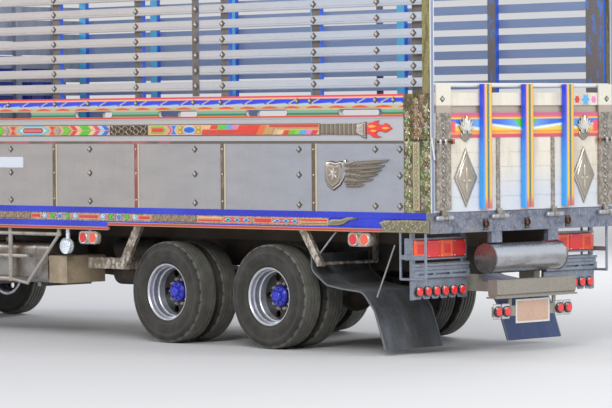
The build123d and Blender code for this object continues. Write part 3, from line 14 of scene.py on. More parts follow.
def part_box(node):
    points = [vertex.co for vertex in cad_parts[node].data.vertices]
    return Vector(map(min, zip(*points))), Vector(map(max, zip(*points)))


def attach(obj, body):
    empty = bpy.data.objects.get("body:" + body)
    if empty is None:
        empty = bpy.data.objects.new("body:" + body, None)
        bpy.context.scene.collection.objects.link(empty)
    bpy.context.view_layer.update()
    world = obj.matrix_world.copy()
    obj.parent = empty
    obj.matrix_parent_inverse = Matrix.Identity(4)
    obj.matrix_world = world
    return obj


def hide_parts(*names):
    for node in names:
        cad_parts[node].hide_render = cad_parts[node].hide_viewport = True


bl_info = {
    "name": "Decorated cargo truck",
    "version": (1, 0, 0),
    "blender": (4, 5, 0),
    "location": "3D View > Sidebar > Truck",
    "description": "Finishes, ornament and studio for a decorated ten-wheel cargo truck",
    "category": "Object",
}

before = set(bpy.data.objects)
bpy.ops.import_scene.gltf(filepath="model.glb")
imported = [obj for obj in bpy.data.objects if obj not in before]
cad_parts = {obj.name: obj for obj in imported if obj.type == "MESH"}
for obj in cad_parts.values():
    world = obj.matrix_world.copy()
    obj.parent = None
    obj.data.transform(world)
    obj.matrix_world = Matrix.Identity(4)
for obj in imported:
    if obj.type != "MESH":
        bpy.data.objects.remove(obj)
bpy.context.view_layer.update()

# Places read from the frame
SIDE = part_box("waist_bands")[1].x
PANEL_FACE = SIDE - 0.004
INNER_FACE = SIDE - 0.034
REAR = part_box("rear_columns")[1].y
PANEL_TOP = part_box("side_panels")[1].z
WHEEL_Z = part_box("rear_tyres_left")[1].z / 2
TYRE_RADIUS = WHEEL_Z
WHEEL_Y = {name: sum(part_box(f"{name}_left")[i].y for i in (0, 1)) / 2
           for name in ("front_tyre", "mid_tyres", "rear_tyres")}
TYRE_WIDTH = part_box("front_tyre_left")[1].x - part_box("front_tyre_left")[0].x
CAB_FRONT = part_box("grille")[1].y
CAB_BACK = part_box("cab_back")[1].y
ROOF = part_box("cab_shell")[1].z

# Outer faces of the hubs and rim discs, from the truck's middle
HUB_FACE, DISC_FACE = 1.034, 0.985
FRONT_HUB_FACE, FRONT_DISC_FACE = 1.131, 1.086

# Repeats of the body: posts as distances ahead of the rear face, slats as heights
POST_FIRST, POST_PITCH = 1.42, 1.18
POSTS = [POST_FIRST + POST_PITCH * i for i in range(5)]
SLAT_LOW, SLAT_HEIGHT, SLAT_PITCH, SLAT_COUNT = 2.375, 0.082, 0.143, 9

# The tailgate's posts, the edges of its painted band, and its latches' height
GATE_PITCH = 0.56
GATE_POSTS = (-GATE_PITCH, 0.0, GATE_PITCH)
BAND_LOW, BAND_HIGH = 1.928, 2.147
LATCH_Z = 1.895

# Lamps and the number plate: (y, z) of the side lamps, and the plate's middle height
TWIN_LAMPS = ((3.833, 1.03), (0.22, 0.977))
CLEAR_LAMP = (-0.11, 0.888)
PLATE_Z = 0.378

# The windscreen: its foot, its slope and its opening; a door's window as y and z limits
SCREEN_FOOT, SCREEN_SLOPE = 1.76, 0.1458
SCREEN_LOW, SCREEN_HIGH, SCREEN_HALF = 1.79, 2.63, 1.01
DOOR_WINDOW = (-4.47, -3.68, 1.85, 2.555)

# The ornament strips: heights, studs and motifs, as distances ahead of the rear face
STRIP_Z, STRIP_HEIGHT = 2.0095, 0.105
RAIL_STRIP_Z = 1.181
STUD_COLUMNS = (0.37, 0.666, 1.615, 2.98, 4.45, 5.62, 6.93)
STUD_ROWS = (1.33, 1.60, 1.83)
WAIST_STUDS = (0.44, 0.66, 1.466, 1.63, 2.626, 2.99, 3.78, 4.465, 4.95, 5.645, 6.14, 6.9)
MOTIFS = (4.043, 4.897, 6.75)

# The seats: front edge, depth, height of the base, distance from the middle, swell of the cloth
SEAT_FRONT, SEAT_DEPTH, SEAT_BASE, SEAT_X = -4.03, 0.54, 1.48, 0.8
SEAT_SWELL = 0.016


def rgb(code):
    """A colour from its hex code, as a screen shows it."""
    def linear(value):
        value /= 255
        return value / 12.92 if value <= 0.04045 else ((value + 0.055) / 1.055) ** 2.4
    return tuple(linear(value) for value in bytes.fromhex(code))


# Colours that several finishes share, as hex codes; the last is linear
GREY = "b7b1ae"
GREY_REAR = "adb1bc"
BLUE = "1426c8"
# Tones of the columns' stamped leaves; the green one is a painted reflection, as on the columns
LEAF_TONES = ("9c9574", "c8c0a2", "7e7456", "9aac7c", "beaaa0", "6a5e46")
RED = "e23430"
ORANGE = "ee8432"
CREAM = "ece6d4"
CYAN = "56b0f0"
PINK = "f082c4"
TAN = "cea468"
DIRT = "685c4e"
DARKEST = (0.0, 0.0, 0.0)


class Number:
    """A number that changes over a surface: arithmetic on it adds Math nodes."""

    def __init__(self, finish, socket):
        self.finish = finish
        self.socket = socket

    def maths(self, operation, *others):
        node = self.finish.node("Math", {"operation": operation}, [self, *others])
        return Number(self.finish, node.outputs[0])

    def __rsub__(self, other):
        return self * -1 + other

    __add__ = __radd__ = partialmethod(maths, "ADD")
    __mul__ = __rmul__ = partialmethod(maths, "MULTIPLY")
    __sub__ = partialmethod(maths, "SUBTRACT")
    __truediv__ = partialmethod(maths, "DIVIDE")
    __mod__ = partialmethod(maths, "FLOORED_MODULO")
    __pow__ = partialmethod(maths, "POWER")
    __abs__ = partialmethod(maths, "ABSOLUTE")
    sine = partialmethod(maths, "SINE")
    least = partialmethod(maths, "MINIMUM")
    most = partialmethod(maths, "MAXIMUM")

    def rise(self, edge, soft=0.002):
        """0 below the edge and 1 above it, over a soft width."""
        return self.map(edge - soft / 2, edge + soft / 2)

    def map(self, low, high, to_low=0.0, to_high=1.0):
        values = {"Value": self, "From Min": low, "From Max": high, "To Min": to_low, "To Max": to_high}
        node = self.finish.node("MapRange", {"interpolation_type": "SMOOTHSTEP"}, values)
        return Number(self.finish, node.outputs[0])

    def between(self, low, high, soft=0.002):
        return self.rise(low, soft) - self.rise(high, soft)


class Tree:
    """A node tree built by calls: node() adds a node and feeds its inputs."""

    def __init__(self, tree):
        self.links, self.nodes = tree.links, tree.nodes
        self.nodes.clear()

    def node(self, kind, settings=None, inputs=()):
        node = self.nodes.new(f"ShaderNode{kind}")
        for key, value in (settings or {}).items():
            setattr(node, key, value)
        pairs = inputs.items() if isinstance(inputs, dict) else enumerate(inputs)
        for key, value in pairs:
            self.feed(node.inputs[key], value)
        return node

    def feed(self, socket, value):
        """Links a socket or Number to the socket, or sets its constant; a colour may be a hex code."""
        if isinstance(value, Number):
            value = value.socket
        elif isinstance(value, str):
            value = rgb(value)
        if isinstance(value, bpy.types.NodeSocket):
            self.links.new(value, socket)
        else:
            short = socket.type == "RGBA" and len(value) == 3
            socket.default_value = (*value, 1.0) if short else value


class Finish(Tree):
    """A material: place and masks come from its node methods, and wear() closes it."""

    def __init__(self, name, **fixed):
        self.material = bpy.data.materials.new(name)
        self.material.use_nodes = True
        super().__init__(self.material.node_tree)
        self.shader = self.node("BsdfPrincipled", {}, fixed)
        self.node("OutputMaterial", {}, {"Surface": self.shader.outputs["BSDF"]})
        self.place = self.node("TexCoord").outputs["Object"]
        axes = self.node("SeparateXYZ", {}, [self.place]).outputs
        self.x, self.y, self.z = [Number(self, axis) for axis in axes]
        self.ahead = REAR - self.y

    def drive(self, name, value):
        """Feeds one of the shader's own inputs."""
        self.feed(self.shader.inputs[name], value)

    def stretched(self, scale):
        return self.node("Mapping", {}, {"Vector": self.place, "Scale": scale}).outputs[0]

    def noise(self, scale, detail=3.0, rough=0.55, stretch=(1, 1, 1)):
        values = {"Vector": self.stretched(stretch), "Scale": scale, "Detail": detail, "Roughness": rough}
        return Number(self, self.node("TexNoise", {}, values).outputs[0])

    def cells(self, scale, stretch=(1, 1, 1)):
        values = {"Vector": self.stretched(stretch), "Scale": scale}
        return Number(self, self.node("TexVoronoi", {}, values).outputs[0])

    def wheel_distance(self, centre_y, centre_z=WHEEL_Z):
        """Distance from a wheel's axis."""
        return ((self.y - centre_y) ** 2 + (self.z - centre_z) ** 2) ** 0.5

    def mix(self, first, second, factor):
        node = self.node("Mix", {"data_type": "RGBA", "clamp_factor": True})
        self.feed(node.inputs[0], factor)
        self.feed(node.inputs[6], first)
        self.feed(node.inputs[7], second)
        return node.outputs[2]

    def layers(self, colour, *paints):
        """The colour with (mask, colour) paints laid over it in turn."""
        for mask, paint in paints:
            colour = self.mix(colour, paint, mask)
        return colour

    def normal_axis(self, index):
        out = self.node("NewGeometry").outputs["Normal"]
        return Number(self, self.node("SeparateXYZ", {}, [out]).outputs[index])

    def wear(self, colour, rough=0.4, dust=0.25, dust_colour=DIRT, relief=None, depth=0.002,
             speckle=1.0, metallic=None):
        """Lays shade, scratches and road dust on the colour and feeds the shader."""
        broad = self.noise(1.7, 4)
        fine = self.noise(38, 4, 0.65)
        streak = self.noise(9, 3, 0.6, (1, 1, 0.12))
        shade = self.mix(colour, DARKEST, (broad * fine * 0.16 * speckle).most(0))
        low = self.z.map(1.5, 0.1)
        mask = (streak.map(0.42, 0.8) * 0.6 + low * 0.7 + broad * 0.25) * fine.map(0.25, 0.75)
        self.drive("Base Color", self.mix(shade, dust_colour, mask * dust))
        roughness = rough + (fine - 0.5) * 0.16 + mask * dust * 0.5
        self.drive("Roughness", roughness.most(0.04).least(1))
        height = fine * 0.1 + broad * 0.3
        if relief is not None:
            height = relief + height * 0.12
        bump = self.node("Bump", {}, {"Strength": 0.6, "Distance": depth, "Height": height})
        self.drive("Normal", bump.outputs[0])
        if metallic is not None:
            self.drive("Metallic", metallic)
        return self.material


# Finishes

def plain_paint(name, colour, rough, dust, metallic=0.0):
    """One colour, worn."""
    return Finish(name, Metallic=metallic).wear(colour, rough, dust)


def wall_grey(finish):
    """The walls' grey, warm towards the cab and bluer towards the rear."""
    return finish.mix(GREY_REAR, GREY, finish.ahead.map(1.0, 4.2))


def side_panel_paint():
    """Grey sheet with a dark and pale strip over each joint, and a dark rail along the top."""
    finish = Finish("side_panel_paint", Metallic=0.25)
    ahead = finish.ahead
    place = (ahead - POST_FIRST + POST_PITCH / 2) % POST_PITCH - POST_PITCH / 2
    outside = abs(finish.x).rise(SIDE - 0.002, 0.001)
    low_part = 1 - finish.z.rise(PANEL_TOP - 0.024, 0.001)
    strip = outside * place.between(-0.034, 0.034, 0.001) * low_part
    edge = outside * place.between(-0.034, -0.014, 0.001) * low_part
    rail = outside * (1 - low_part)
    third = ahead.between(POST_FIRST + 1.5 * POST_PITCH, POST_FIRST + 2.5 * POST_PITCH, 0.01)
    # Painted highlight: pale glinting flecks on the strips' brown; the colour named rust holds both
    glint = finish.noise(26, 2, 0.6, (1, 1, 0.3)).map(0.5, 0.75)
    brown = finish.mix("706252", "a05854", third)
    rust = finish.mix(brown, "b09882", glint * 0.7)
    pink = finish.noise(3, 2).map(0.45, 0.6) * ahead.rise(2.7, 0.1)
    dark_rail = finish.mix("706860", "b87078", pink)
    seam = finish.noise(2.2, 2, 0.5, (1, 1, 4)).map(0.3, 0.8)
    base = finish.mix(wall_grey(finish), "96969a", seam * 0.35)
    colour = finish.layers(base, (strip, rust), (edge, "d8ccb4"), (rail, dark_rail))
    wave = finish.noise(1.3, 2, 0.5, (0.3, 0.8, 2.2))
    return finish.wear(colour, 0.42, 0.16, relief=wave, depth=0.02)


def slat_paint():
    """The rack's slats: pale outside with faint streaks, and blue-grey inside as painted shade."""
    finish = Finish("slat_paint", Metallic=0.15)
    inner = 1 - abs(finish.x).rise(INNER_FACE, 0.002)
    pale = finish.mix("c4cad6", "cec8c6", finish.ahead.map(1.0, 4.2))
    streaks = finish.noise(6, 3, 0.6, (1, 0.4, 3)).map(0.5, 0.8)
    # The blue-grey of the inner faces is painted shade
    colour = finish.layers(pale, (streaks * 0.25, "aaa8aa"), (inner, "8c9ec4"))
    wave = finish.noise(2.0, 2, 0.5, (0.4, 0.9, 3))
    return finish.wear(colour, 0.4, 0.12, relief=wave, depth=0.015)


def post_paint():
    """Rack posts: grey steel, cyan inner faces and blue faces towards the rear."""
    finish = Finish("post_paint", Metallic=0.1)
    depth = abs(finish.x)
    inner = 1 - depth.rise(SIDE - 0.083, 0.002)
    rearward = finish.normal_axis(1).rise(0.5, 0.2) * depth.rise(SIDE - 0.084, 0.002)
    last = finish.y.rise(REAR - 2.0, 0.1)
    blotch = finish.noise(12, 3, 0.6, (1, 1, 0.5)).map(0.52, 0.62)
    inner_colour = finish.mix("60beee", "7c7474", last)
    inner_colour = finish.mix(inner_colour, "548ce2", blotch * last * 0.8)
    base = finish.mix("80766e", "605a56", finish.noise(7, 3).map(0.35, 0.7))
    colour = finish.layers(base, (inner, inner_colour), (rearward, "3a68de"))
    return finish.wear(colour, 0.42, 0.2)


def front_wall_paint():
    """The wall behind the cab, with upright streaks."""
    finish = Finish("front_wall_paint", Metallic=0.15)
    seam = finish.noise(3, 2, 0.5, (3, 1, 1)).map(0.3, 0.8)
    return finish.wear(finish.mix("969eb2", "808696", seam), 0.45, 0.25)


def waist_paint():
    """The painted band: lines, slanted blue leaves, red scallops and green stripes."""
    finish = Finish("waist_paint", **{"Coat Weight": 0.5, "Coat Roughness": 0.1})
    period = 0.285
    ahead, z = finish.ahead, finish.z
    depth = abs(finish.x)
    height = z.map(2.232, 2.286)
    phase = ((0.062 - ahead) - height ** 1.6 * 0.085) / period
    along = phase % 1.0
    gap = along.between(0.085, 0.2, 0.05)
    tail = along.map(0.15, 1.0)
    blue_low = 2.238 + tail * 0.006
    blue = (z - blue_low).map(0, 0.004) * (1 - z.rise(2.284, 0.003))
    blue_colour = finish.mix("243ee8", "6eb2ec", (1 - z.map(2.236, 2.262)) * along.map(0.45, 1.0))
    curve = finish.mix("c4cec4", "8c8a54", along.between(0.1, 0.14, 0.03))
    hump = ((0.13 - ahead) / period) % 1.0
    reach = (1 - abs(hump - 0.5) * 2.7).most(0) ** 0.5
    scallop = ((z - 2.199).map(0, 0.003) * (2.203 + reach * 0.022 - z).map(0, 0.003)
               * reach.rise(0.05, 0.05))
    grey = wall_grey(finish)
    colour = finish.layers(
        grey,
        (z.rise(2.119), RED),
        (z.rise(2.130), ORANGE),
        (z.rise(2.139), "308464"),
        (z.rise(2.159, 0.004), "7ab498"),
        (z.rise(2.183, 0.004), "ceba92"),
        (scallop, "ec542a"),
        (z.rise(2.223, 0.003), "c4cecc"),
        (blue, blue_colour),
        (gap * z.between(2.234, 2.285, 0.002), curve),
        (z.rise(2.285), ORANGE),
        (z.rise(2.290), "fce0b2"),
        (z.rise(2.296), "f88078"),
        (z.rise(2.302), "f04654"))
    # The inner faces take the slats' blue-grey: painted shade
    inner = 1 - depth.rise(INNER_FACE, 0.002)
    rim = 1 - depth.rise(SIDE - 0.0035, 0.001)
    colour = finish.layers(colour, (rim, finish.mix(grey, "ceccce", 0.5)), (inner, "8c9ec4"))
    return finish.wear(colour, 0.3, 0.08, speckle=0.5)


def rail_paint():
    """The blue side rail with its ornament groove and red lower edge."""
    finish = Finish("rail_paint", **{"Coat Weight": 0.6, "Coat Roughness": 0.08})
    ahead, z = finish.ahead, finish.z
    drop = ahead.rise(4.2, 0.004) * 0.045
    above = z - 1.1 + drop
    red = above.between(0.006, 0.024, 0.002)
    tan = above.between(0.024, 0.031, 0.002) + above.between(-0.02, 0.006, 0.002)
    groove = (z.between(1.143, 1.217, 0.002) * abs(finish.x).rise(SIDE - 0.02, 0.002)
              * ahead.rise(1.25, 0.004))
    streaks = finish.noise(3, 3, 0.5, (1, 0.4, 1)).map(0.45, 0.75)
    shade = finish.mix(BLUE, "2442e0", streaks)
    grit = finish.noise(60, 3).map(0.4, 0.6)
    chrome = finish.mix("968670", "dcd0be", grit)
    colour = finish.layers(shade, (groove, chrome), (red, "ce3e3c"), (tan, TAN))
    return finish.wear(colour, 0.26, 0.1, relief=finish.noise(60, 3) * groove, depth=0.004,
                       metallic=groove * 0.7)


def arm_steel():
    """Stamped sheet: small raised leaves with patches of tone and grime in the hollows."""
    finish = Finish("arm_steel", Metallic=0.5)
    size = 24
    drift = finish.noise(size * 0.35, 3, 0.6)
    cell = finish.cells(size, (1, 1, 0.62))
    vein = ((cell * 9 + drift * 26).sine() * 0.5 + 0.5)
    hollow = (cell.map(0.42, 0.62) + vein.map(0.75, 1.0) * 0.6).least(1)
    colour = "c4b8ac"
    for index, tone in enumerate(("a09486", "d6cec2")):
        patch = finish.noise(size * (0.12 + 0.05 * index), 3, 0.62, (1, 1, 0.55 + 0.3 * index))
        colour = finish.mix(colour, tone, patch.map(0.5, 0.58))
    glint = vein.map(0.6, 0.2) * finish.noise(size * 0.8, 2).map(0.5, 0.68)
    bright = finish.mix(colour, "e2dece", glint * 0.55)
    colour = finish.mix(bright, "74685c", hollow * 0.8)
    return finish.wear(colour, 0.38, 0.2, relief=(1 - cell) * 0.7 + vein * 0.5 - hollow * 0.6, depth=0.008)


def column_steel():
    """The rear columns: olive stamped sides, green lower down as a painted reflection in the steel, and a
    pale face to the rear.
    """
    finish = Finish("column_steel", Metallic=0.35)
    drift = finish.noise(12, 3, 0.6)
    cell = finish.cells(30, (1, 1, 0.6))
    vein = (cell * 8 + drift * 24).sine() * 0.5 + 0.5
    hollow = (cell.map(0.4, 0.62) + vein.map(0.72, 1.0) * 0.7).least(1)
    upper = finish.z.rise(1.911, 0.01)
    streaks = finish.noise(16, 3, 0.65, (1, 1, 0.16)).map(0.5, 0.6)
    spots = finish.noise(13, 3, 0.65, (1, 1, 0.6)).map(0.52, 0.6)
    blush = finish.noise(9, 2, 0.6, (1, 1, 0.3)).map(0.58, 0.66)
    # The green of the lower sides is a painted reflection in the stamped steel
    green = finish.mix("9cb478", "b8b08c", streaks)
    lower_tone_and_reflection = finish.layers(green, (spots * 0.9, "76685c"), (blush, "bca09e"))
    upper_tone = finish.layers("82764c", (streaks * 0.6, "aca070"),
                               (spots * 0.8, "5a5036"), (blush, "b09280"))
    tone = finish.mix(lower_tone_and_reflection, upper_tone, upper)
    seam = finish.z.between(1.905, 1.917, 0.003)
    tone = finish.layers(tone, (hollow * 0.7, "3e382c"), (seam, "3c3222"))
    rearward = finish.normal_axis(1).rise(0.6, 0.2)
    inset = abs(abs(finish.x) - (SIDE - 0.025))
    face = finish.layers("929cb6", (inset.rise(0.017, 0.003), "e8eaf0"))
    high = finish.z.rise(2.32, 0.01)
    post = finish.mix("968e5c", "787048", streaks)
    tone = finish.layers(tone, (high, post), (rearward, face))
    return finish.wear(tone, 0.42, 0.15, relief=((1 - cell) * 0.7 + vein * 0.5) * (1 - rearward),
                       depth=0.008)


def sill_steel():
    """The rear sill: mottled blue-grey stamped sheet with pale hinge barrels."""
    finish = Finish("sill_steel", Metallic=0.5)
    blotch = finish.noise(9, 4, 0.62).map(0.42, 0.62)
    stain = finish.noise(4, 4, 0.6, (1, 1, 0.4)).map(0.52, 0.66)
    fleck = finish.noise(46, 2, 0.5, (1, 1, 0.7)).map(0.56, 0.66)
    barrel = finish.z.rise(1.205, 0.002) * finish.y.rise(REAR + 0.009, 0.001)
    colour = finish.layers("868c9c", (blotch * 0.8, "606474"),
                           (stain * 0.6, "928882"), (fleck * 0.5, "b2b6c4"),
                           (barrel, "b4b4b8"))
    dent = finish.cells(26)
    return finish.wear(colour, 0.38, 0.25, relief=dent * 0.5 + fleck * 0.3, depth=0.005)


def frame_steel():
    """Zinc-coated lamp frames: broad soft spangles and dull drips."""
    finish = Finish("frame_steel", Metallic=0.55)
    spangle = finish.cells(34, (1, 1, 1.6)).map(0.1, 0.7)
    drip = finish.noise(8, 4, 0.6, (1, 1, 0.2)).map(0.45, 0.7)
    tone = finish.mix("9ea8b8", "7c828e", spangle * 0.45 + drip * 0.4)
    return finish.wear(tone, 0.36, 0.25, relief=spangle * 0.2, depth=0.002)


def headlamp_face():
    """Headlamp lenses: bright reflector rings behind a fluted face."""
    finish = Finish("headlamp_face", **{"Coat Weight": 1.0, "Coat Roughness": 0.03})
    lamp_x, lamp_z, half_pitch = 0.89, 0.615, 0.072
    across = abs(abs(abs(finish.x) - lamp_x) - half_pitch)
    out = (across ** 2 + (finish.z - lamp_z) ** 2) ** 0.5
    bowl = 1 - out.rise(0.062, 0.003)
    bulb = 1 - out.rise(0.014, 0.002)
    ring = out.between(0.058, 0.068, 0.002)
    flute = (finish.x * 700).sine() * 0.5 + 0.5
    silver = finish.mix("c4cad2", "f0f4fa", out.map(0.0, 0.06))
    colour = finish.layers("787c82", (bowl, silver), (flute * bowl * 0.25, "5a6068"),
                           (ring, "3c3e42"), (bulb, "faf4d6"))
    return finish.wear(colour, 0.12, 0.08, relief=flute * bowl, depth=0.002, metallic=bowl * 0.7)


def gate_paint():
    """Cream planks and top board, and the painted band with its swooshes."""
    finish = Finish("gate_paint", **{"Coat Weight": 0.25, "Coat Roughness": 0.2})
    z = finish.z
    side = abs(finish.x)
    end = 1.01
    outer = side.rise(GATE_PITCH, 0.002)
    height = z.map(BAND_LOW, BAND_HIGH)
    inner_run = (GATE_PITCH - side) / GATE_PITCH
    outer_run = (end - side) / (end - GATE_PITCH)
    run = inner_run * (1 - outer) + outer_run * outer
    lift = 0.62 - run * 0.34
    blue = (height - lift).rise(0.03, 0.1) * (1 - height.rise(0.84, 0.03))
    pale = (height - lift).between(-0.12, 0.06, 0.1)
    blue_colour = finish.mix("3c70de", "78b0e8", run.map(0.3, 0.95))
    notch = (height * 1.05 - (side / 0.17)).rise(-0.05, 0.1) * (1 - outer) * (1 - height.rise(0.86, 0.03))
    ends = outer * (1 - outer_run.rise(0.16, 0.08)) * (1 - abs(height - 0.42).rise(0.32, 0.1))
    wisps = finish.noise(8, 2, 0.5, (1, 1, 4))
    band = finish.layers(
        finish.mix("f07e32", "f0cc5a", wisps),
        (height.rise(0.11, 0.02), "eea03c"),
        (height.rise(0.2, 0.04), "f4ce52"),
        (height.rise(0.3, 0.06) * run.map(0.2, 0.8), "d6e8d6"),
        (pale, "e2f0ec"),
        (blue, blue_colour),
        (notch, "54d618"),
        (ends, "f05c6e"),
        (height.rise(0.84, 0.02), "ecce60"),
        (height.rise(0.9, 0.02), "e87454"),
        (height.rise(0.96, 0.01), "ce648c"),
        (1 - height.rise(0.05, 0.02), "d6566e"))
    front = finish.y.rise(REAR - 0.03, 0.01)
    in_band = z.between(BAND_LOW, BAND_HIGH, 0.001) * front * (1 - side.rise(1.011))
    recess = z.between(BAND_HIGH, 2.21, 0.001) * front
    grime = finish.noise(5, 4, 0.6, (1, 1, 0.25)).map(0.35, 0.75)
    planks = finish.mix("e8e0d0", "cec4b2", grime)
    lower_white = finish.mix(planks, "d2d5dc", 1 - z.map(1.4, 1.75))
    tube = z.rise(2.34, 0.01)
    colour = finish.layers(lower_white, (recess, "b2a496"), (in_band, band), (tube, "dedee0"))
    return finish.wear(colour, 0.36, 0.14, speckle=0.7)


def gate_post_paint():
    """Gate posts: blue sides, orange and yellow lines on the face, and steel end stiles."""
    finish = Finish("gate_post_paint", **{"Coat Weight": 0.4, "Coat Roughness": 0.12})
    side = abs(finish.x)
    off = abs((finish.x + GATE_PITCH / 2) % GATE_PITCH - GATE_PITCH / 2)
    sideways = abs(finish.normal_axis(0)).rise(0.5, 0.3)
    blue = finish.mix("42a8f6", "2c48e8", finish.z.map(1.5, 2.35))
    face = finish.layers(
        "ee785c",
        (1 - off.rise(0.052, 0.003), "f49860"),
        (1 - off.rise(0.040, 0.003), "f0c45a"),
        (1 - off.rise(0.018, 0.002), "d6b254"),
        (1 - off.rise(0.012, 0.002), "5c8478"),
        (1 - off.rise(0.004, 0.002), "3c6c96"))
    foot = finish.z.map(1.42, 1.32)
    face = finish.mix(face, "c45c68", foot * 0.8)
    painted = finish.mix(face, blue, sideways)
    end = side.rise(0.9, 0.01)
    strap = (side.between(0.34, 0.41, 0.002) + side.rise(1.07, 0.01) * (
        1 - finish.z.rise(1.3, 0.01))).least(1)
    worn = finish.mix("968c80", "beb6aa", finish.noise(30, 4).map(0.4, 0.62))
    head = end * finish.z.rise(BAND_HIGH)
    board = finish.mix("b2a496", "e4ded0", finish.z.rise(2.212))
    worn = finish.mix(worn, board, head)
    steel = (end - head + strap).least(1)
    colour = finish.mix(painted, worn, (end + strap).least(1))
    return finish.wear(colour, 0.34, 0.12, relief=finish.cells(34) * (end - head), depth=0.004,
                       metallic=steel * 0.75)


def lamp_red_glass():
    """Rear lenses, outer to inner orange, red, orange and dark red, and the round red lamps."""
    finish = Finish("rear_lens", **{"Coat Weight": 0.8, "Coat Roughness": 0.05, "Emission Strength": 0.15})
    side, z = abs(finish.x), finish.z
    inner_lens, third_lens, outer_lens = 0.713, 0.8825, 1.052
    bar = z.rise(0.8, 0.01)
    orange = (side.rise(outer_lens, 0.004) + side.between(inner_lens, third_lens, 0.003)).least(1) * bar
    dark = (1 - side.rise(inner_lens, 0.003)) * bar
    window_x, window_z, window_pitch = 0.966, 0.954, 0.171
    off = abs(abs(side - window_x) - window_pitch)
    window = (off.rise(0.045, 0.004) + abs(z - window_z).rise(0.043, 0.004)).least(1)
    ribs = ((finish.x * 420).sine() * 0.5 + 0.5) * ((z * 300).sine() * 0.25 + 0.75)
    low = 1 - z.rise(0.5, 0.01)
    upper_pitch, lower_pitch = 0.1122, 0.115
    upper_row = (side - 0.5459) % upper_pitch - upper_pitch / 2
    lower_row = (side - 0.3045) % lower_pitch - lower_pitch / 2
    upper_z, lower_z = 0.582, 0.385
    across = upper_row * (1 - low) + lower_row * low
    centre = upper_z * (1 - low) + lower_z * low
    out = (across ** 2 + (z - centre) ** 2) ** 0.5
    bezel = out.rise(0.0375, 0.003) * (1 - bar)
    colour = finish.layers(
        "ec282c",
        (dark, "c41618"),
        (orange, "f65c28"),
        (orange * (1 - window), "d8221e"),
        ((1 - ribs) * 0.22, "780e10"),
        (bezel, "1e1a1a"))
    finish.drive("Emission Color", finish.mix(colour, DARKEST, bezel))
    return finish.wear(colour, 0.14, 0.08, relief=ribs, depth=0.002, speckle=0.3)


def side_lamp_glass():
    """The twin red side lamps in their steel cases, and the clear faceted lamp."""
    finish = Finish("side_lamp_lens", **{"Coat Weight": 0.7, "Coat Roughness": 0.05,
                                         "Emission Strength": 0.12})
    lens_face, clear_face = 1.2325, 1.2
    lens = abs(finish.x).rise(lens_face, 0.001)
    clear = finish.y.between(-0.3, 0.0, 0.01)
    (rear_y, _), (front_y, _) = TWIN_LAMPS
    behind = finish.y.rise(rear_y, 0.004) + finish.y.between(front_y, 1.0, 0.004)
    red = finish.mix("de2c30", "f26042", behind)
    facets = finish.cells(60)
    cut = finish.mix("96b0ce", "f0f8ff", facets.map(0.1, 0.6))
    case = finish.mix("bab0a2", "786c60", finish.noise(20, 3).map(0.4, 0.7))
    face = (abs(finish.x).rise(clear_face, 0.002) * clear).least(1)
    colour = finish.layers(case, (lens * (1 - clear), red), (face, cut))
    finish.drive("Emission Color", finish.mix(DARKEST, colour, (lens + face).least(1)))
    ribs = facets * face + (finish.z * 500).sine() * lens * (1 - clear) * 0.3
    return finish.wear(colour, 0.15, 0.15, relief=ribs, depth=0.004, speckle=0.5)


def plate_paint():
    """The blank plate: a tan field with a pale rim and a pressed border."""
    finish = Finish("plate_paint", Metallic=0.1)
    field_half, field_tall = 0.214, 0.091
    edge = (abs(finish.x).rise(field_half, 0.002) + abs(finish.z - PLATE_Z).rise(field_tall, 0.002)).least(1)
    colour = finish.mix("d0ac98", "e4e2da", edge)
    return finish.wear(colour, 0.4, 0.15, relief=edge, depth=0.002)


def cab_glass():
    """Slightly tinted glass with a thin haze."""
    rough = 0.03
    tone = (0.62, 0.74, 0.74)
    finish = Finish("cab_glass", **{"Transmission Weight": 0.92, "IOR": 1.45, "Roughness": rough})
    haze = finish.noise(4, 3)
    finish.drive("Base Color", finish.mix(tone, tuple(c * 0.8 for c in tone), haze))
    finish.drive("Roughness", (haze * 0.06 + rough).most(0.02))
    return finish.material


def flap_rubber():
    """The mud flaps: black and dusty on the left, blue on the right, with pale edges."""
    finish = Finish("flap_rubber", **{"Sheen Weight": 0.15})
    right = 1 - finish.x.rise(0, 0.01)
    dusty = finish.noise(3.5, 5, 0.65, (1.4, 1, 0.35)).map(0.4, 0.78)
    left = finish.mix("222428", "5c6470", dusty * 0.6)
    blue = finish.mix("2c4278", "566892", dusty)
    fold = (abs(abs(finish.x) - 0.9) * 20).least(1)
    edge = abs(finish.x).rise(1.185, 0.003) + (1 - abs(finish.x).rise(0.455, 0.003))
    colour = finish.layers(finish.mix(left, blue, right), (edge.least(1) * 0.5, "8c9296"))
    return finish.wear(colour, 0.62, 0.2, dust_colour="787876", relief=fold + dusty * 0.2, depth=0.01)


def tyre_rubber(name, centre_y, flat=False):
    """Rubber with dust on the tread and a paler bead; flat is the spare, lying down."""
    finish = Finish(name)
    if flat:
        box_low, box_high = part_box("spare_wheel")
        middle = (box_low + box_high) / 2
        out = ((finish.x - middle.x) ** 2 + (finish.y - middle.y) ** 2) ** 0.5
    else:
        out = finish.wheel_distance(centre_y)
    tread_inner, crease, bead, rim_edge = 0.462, 0.405, 0.3, 0.262
    tread = out.rise(tread_inner, 0.012)
    patch = finish.noise(6, 4, 0.6).map(0.35, 0.75)
    rubber = finish.mix("2a2a29", "44423e", patch)
    dusty = finish.mix(rubber, "7e7e76", tread * (0.45 + patch * 0.35))
    ring = (abs(out - crease).between(-1, 0.012, 0.006) * 0.25
            + abs(out - bead).between(-1, 0.006, 0.004) * 0.2)
    colour = finish.mix(dusty, "5c5a56", ring)
    if flat:
        wheel = 1 - out.rise(rim_edge, 0.003)
        colour = finish.mix(colour, "96928c", wheel)
    sidewall = (out * 520).sine() * 0.25 * (1 - tread)
    return finish.wear(colour, 0.72, 0.12, relief=sidewall, depth=0.0015)


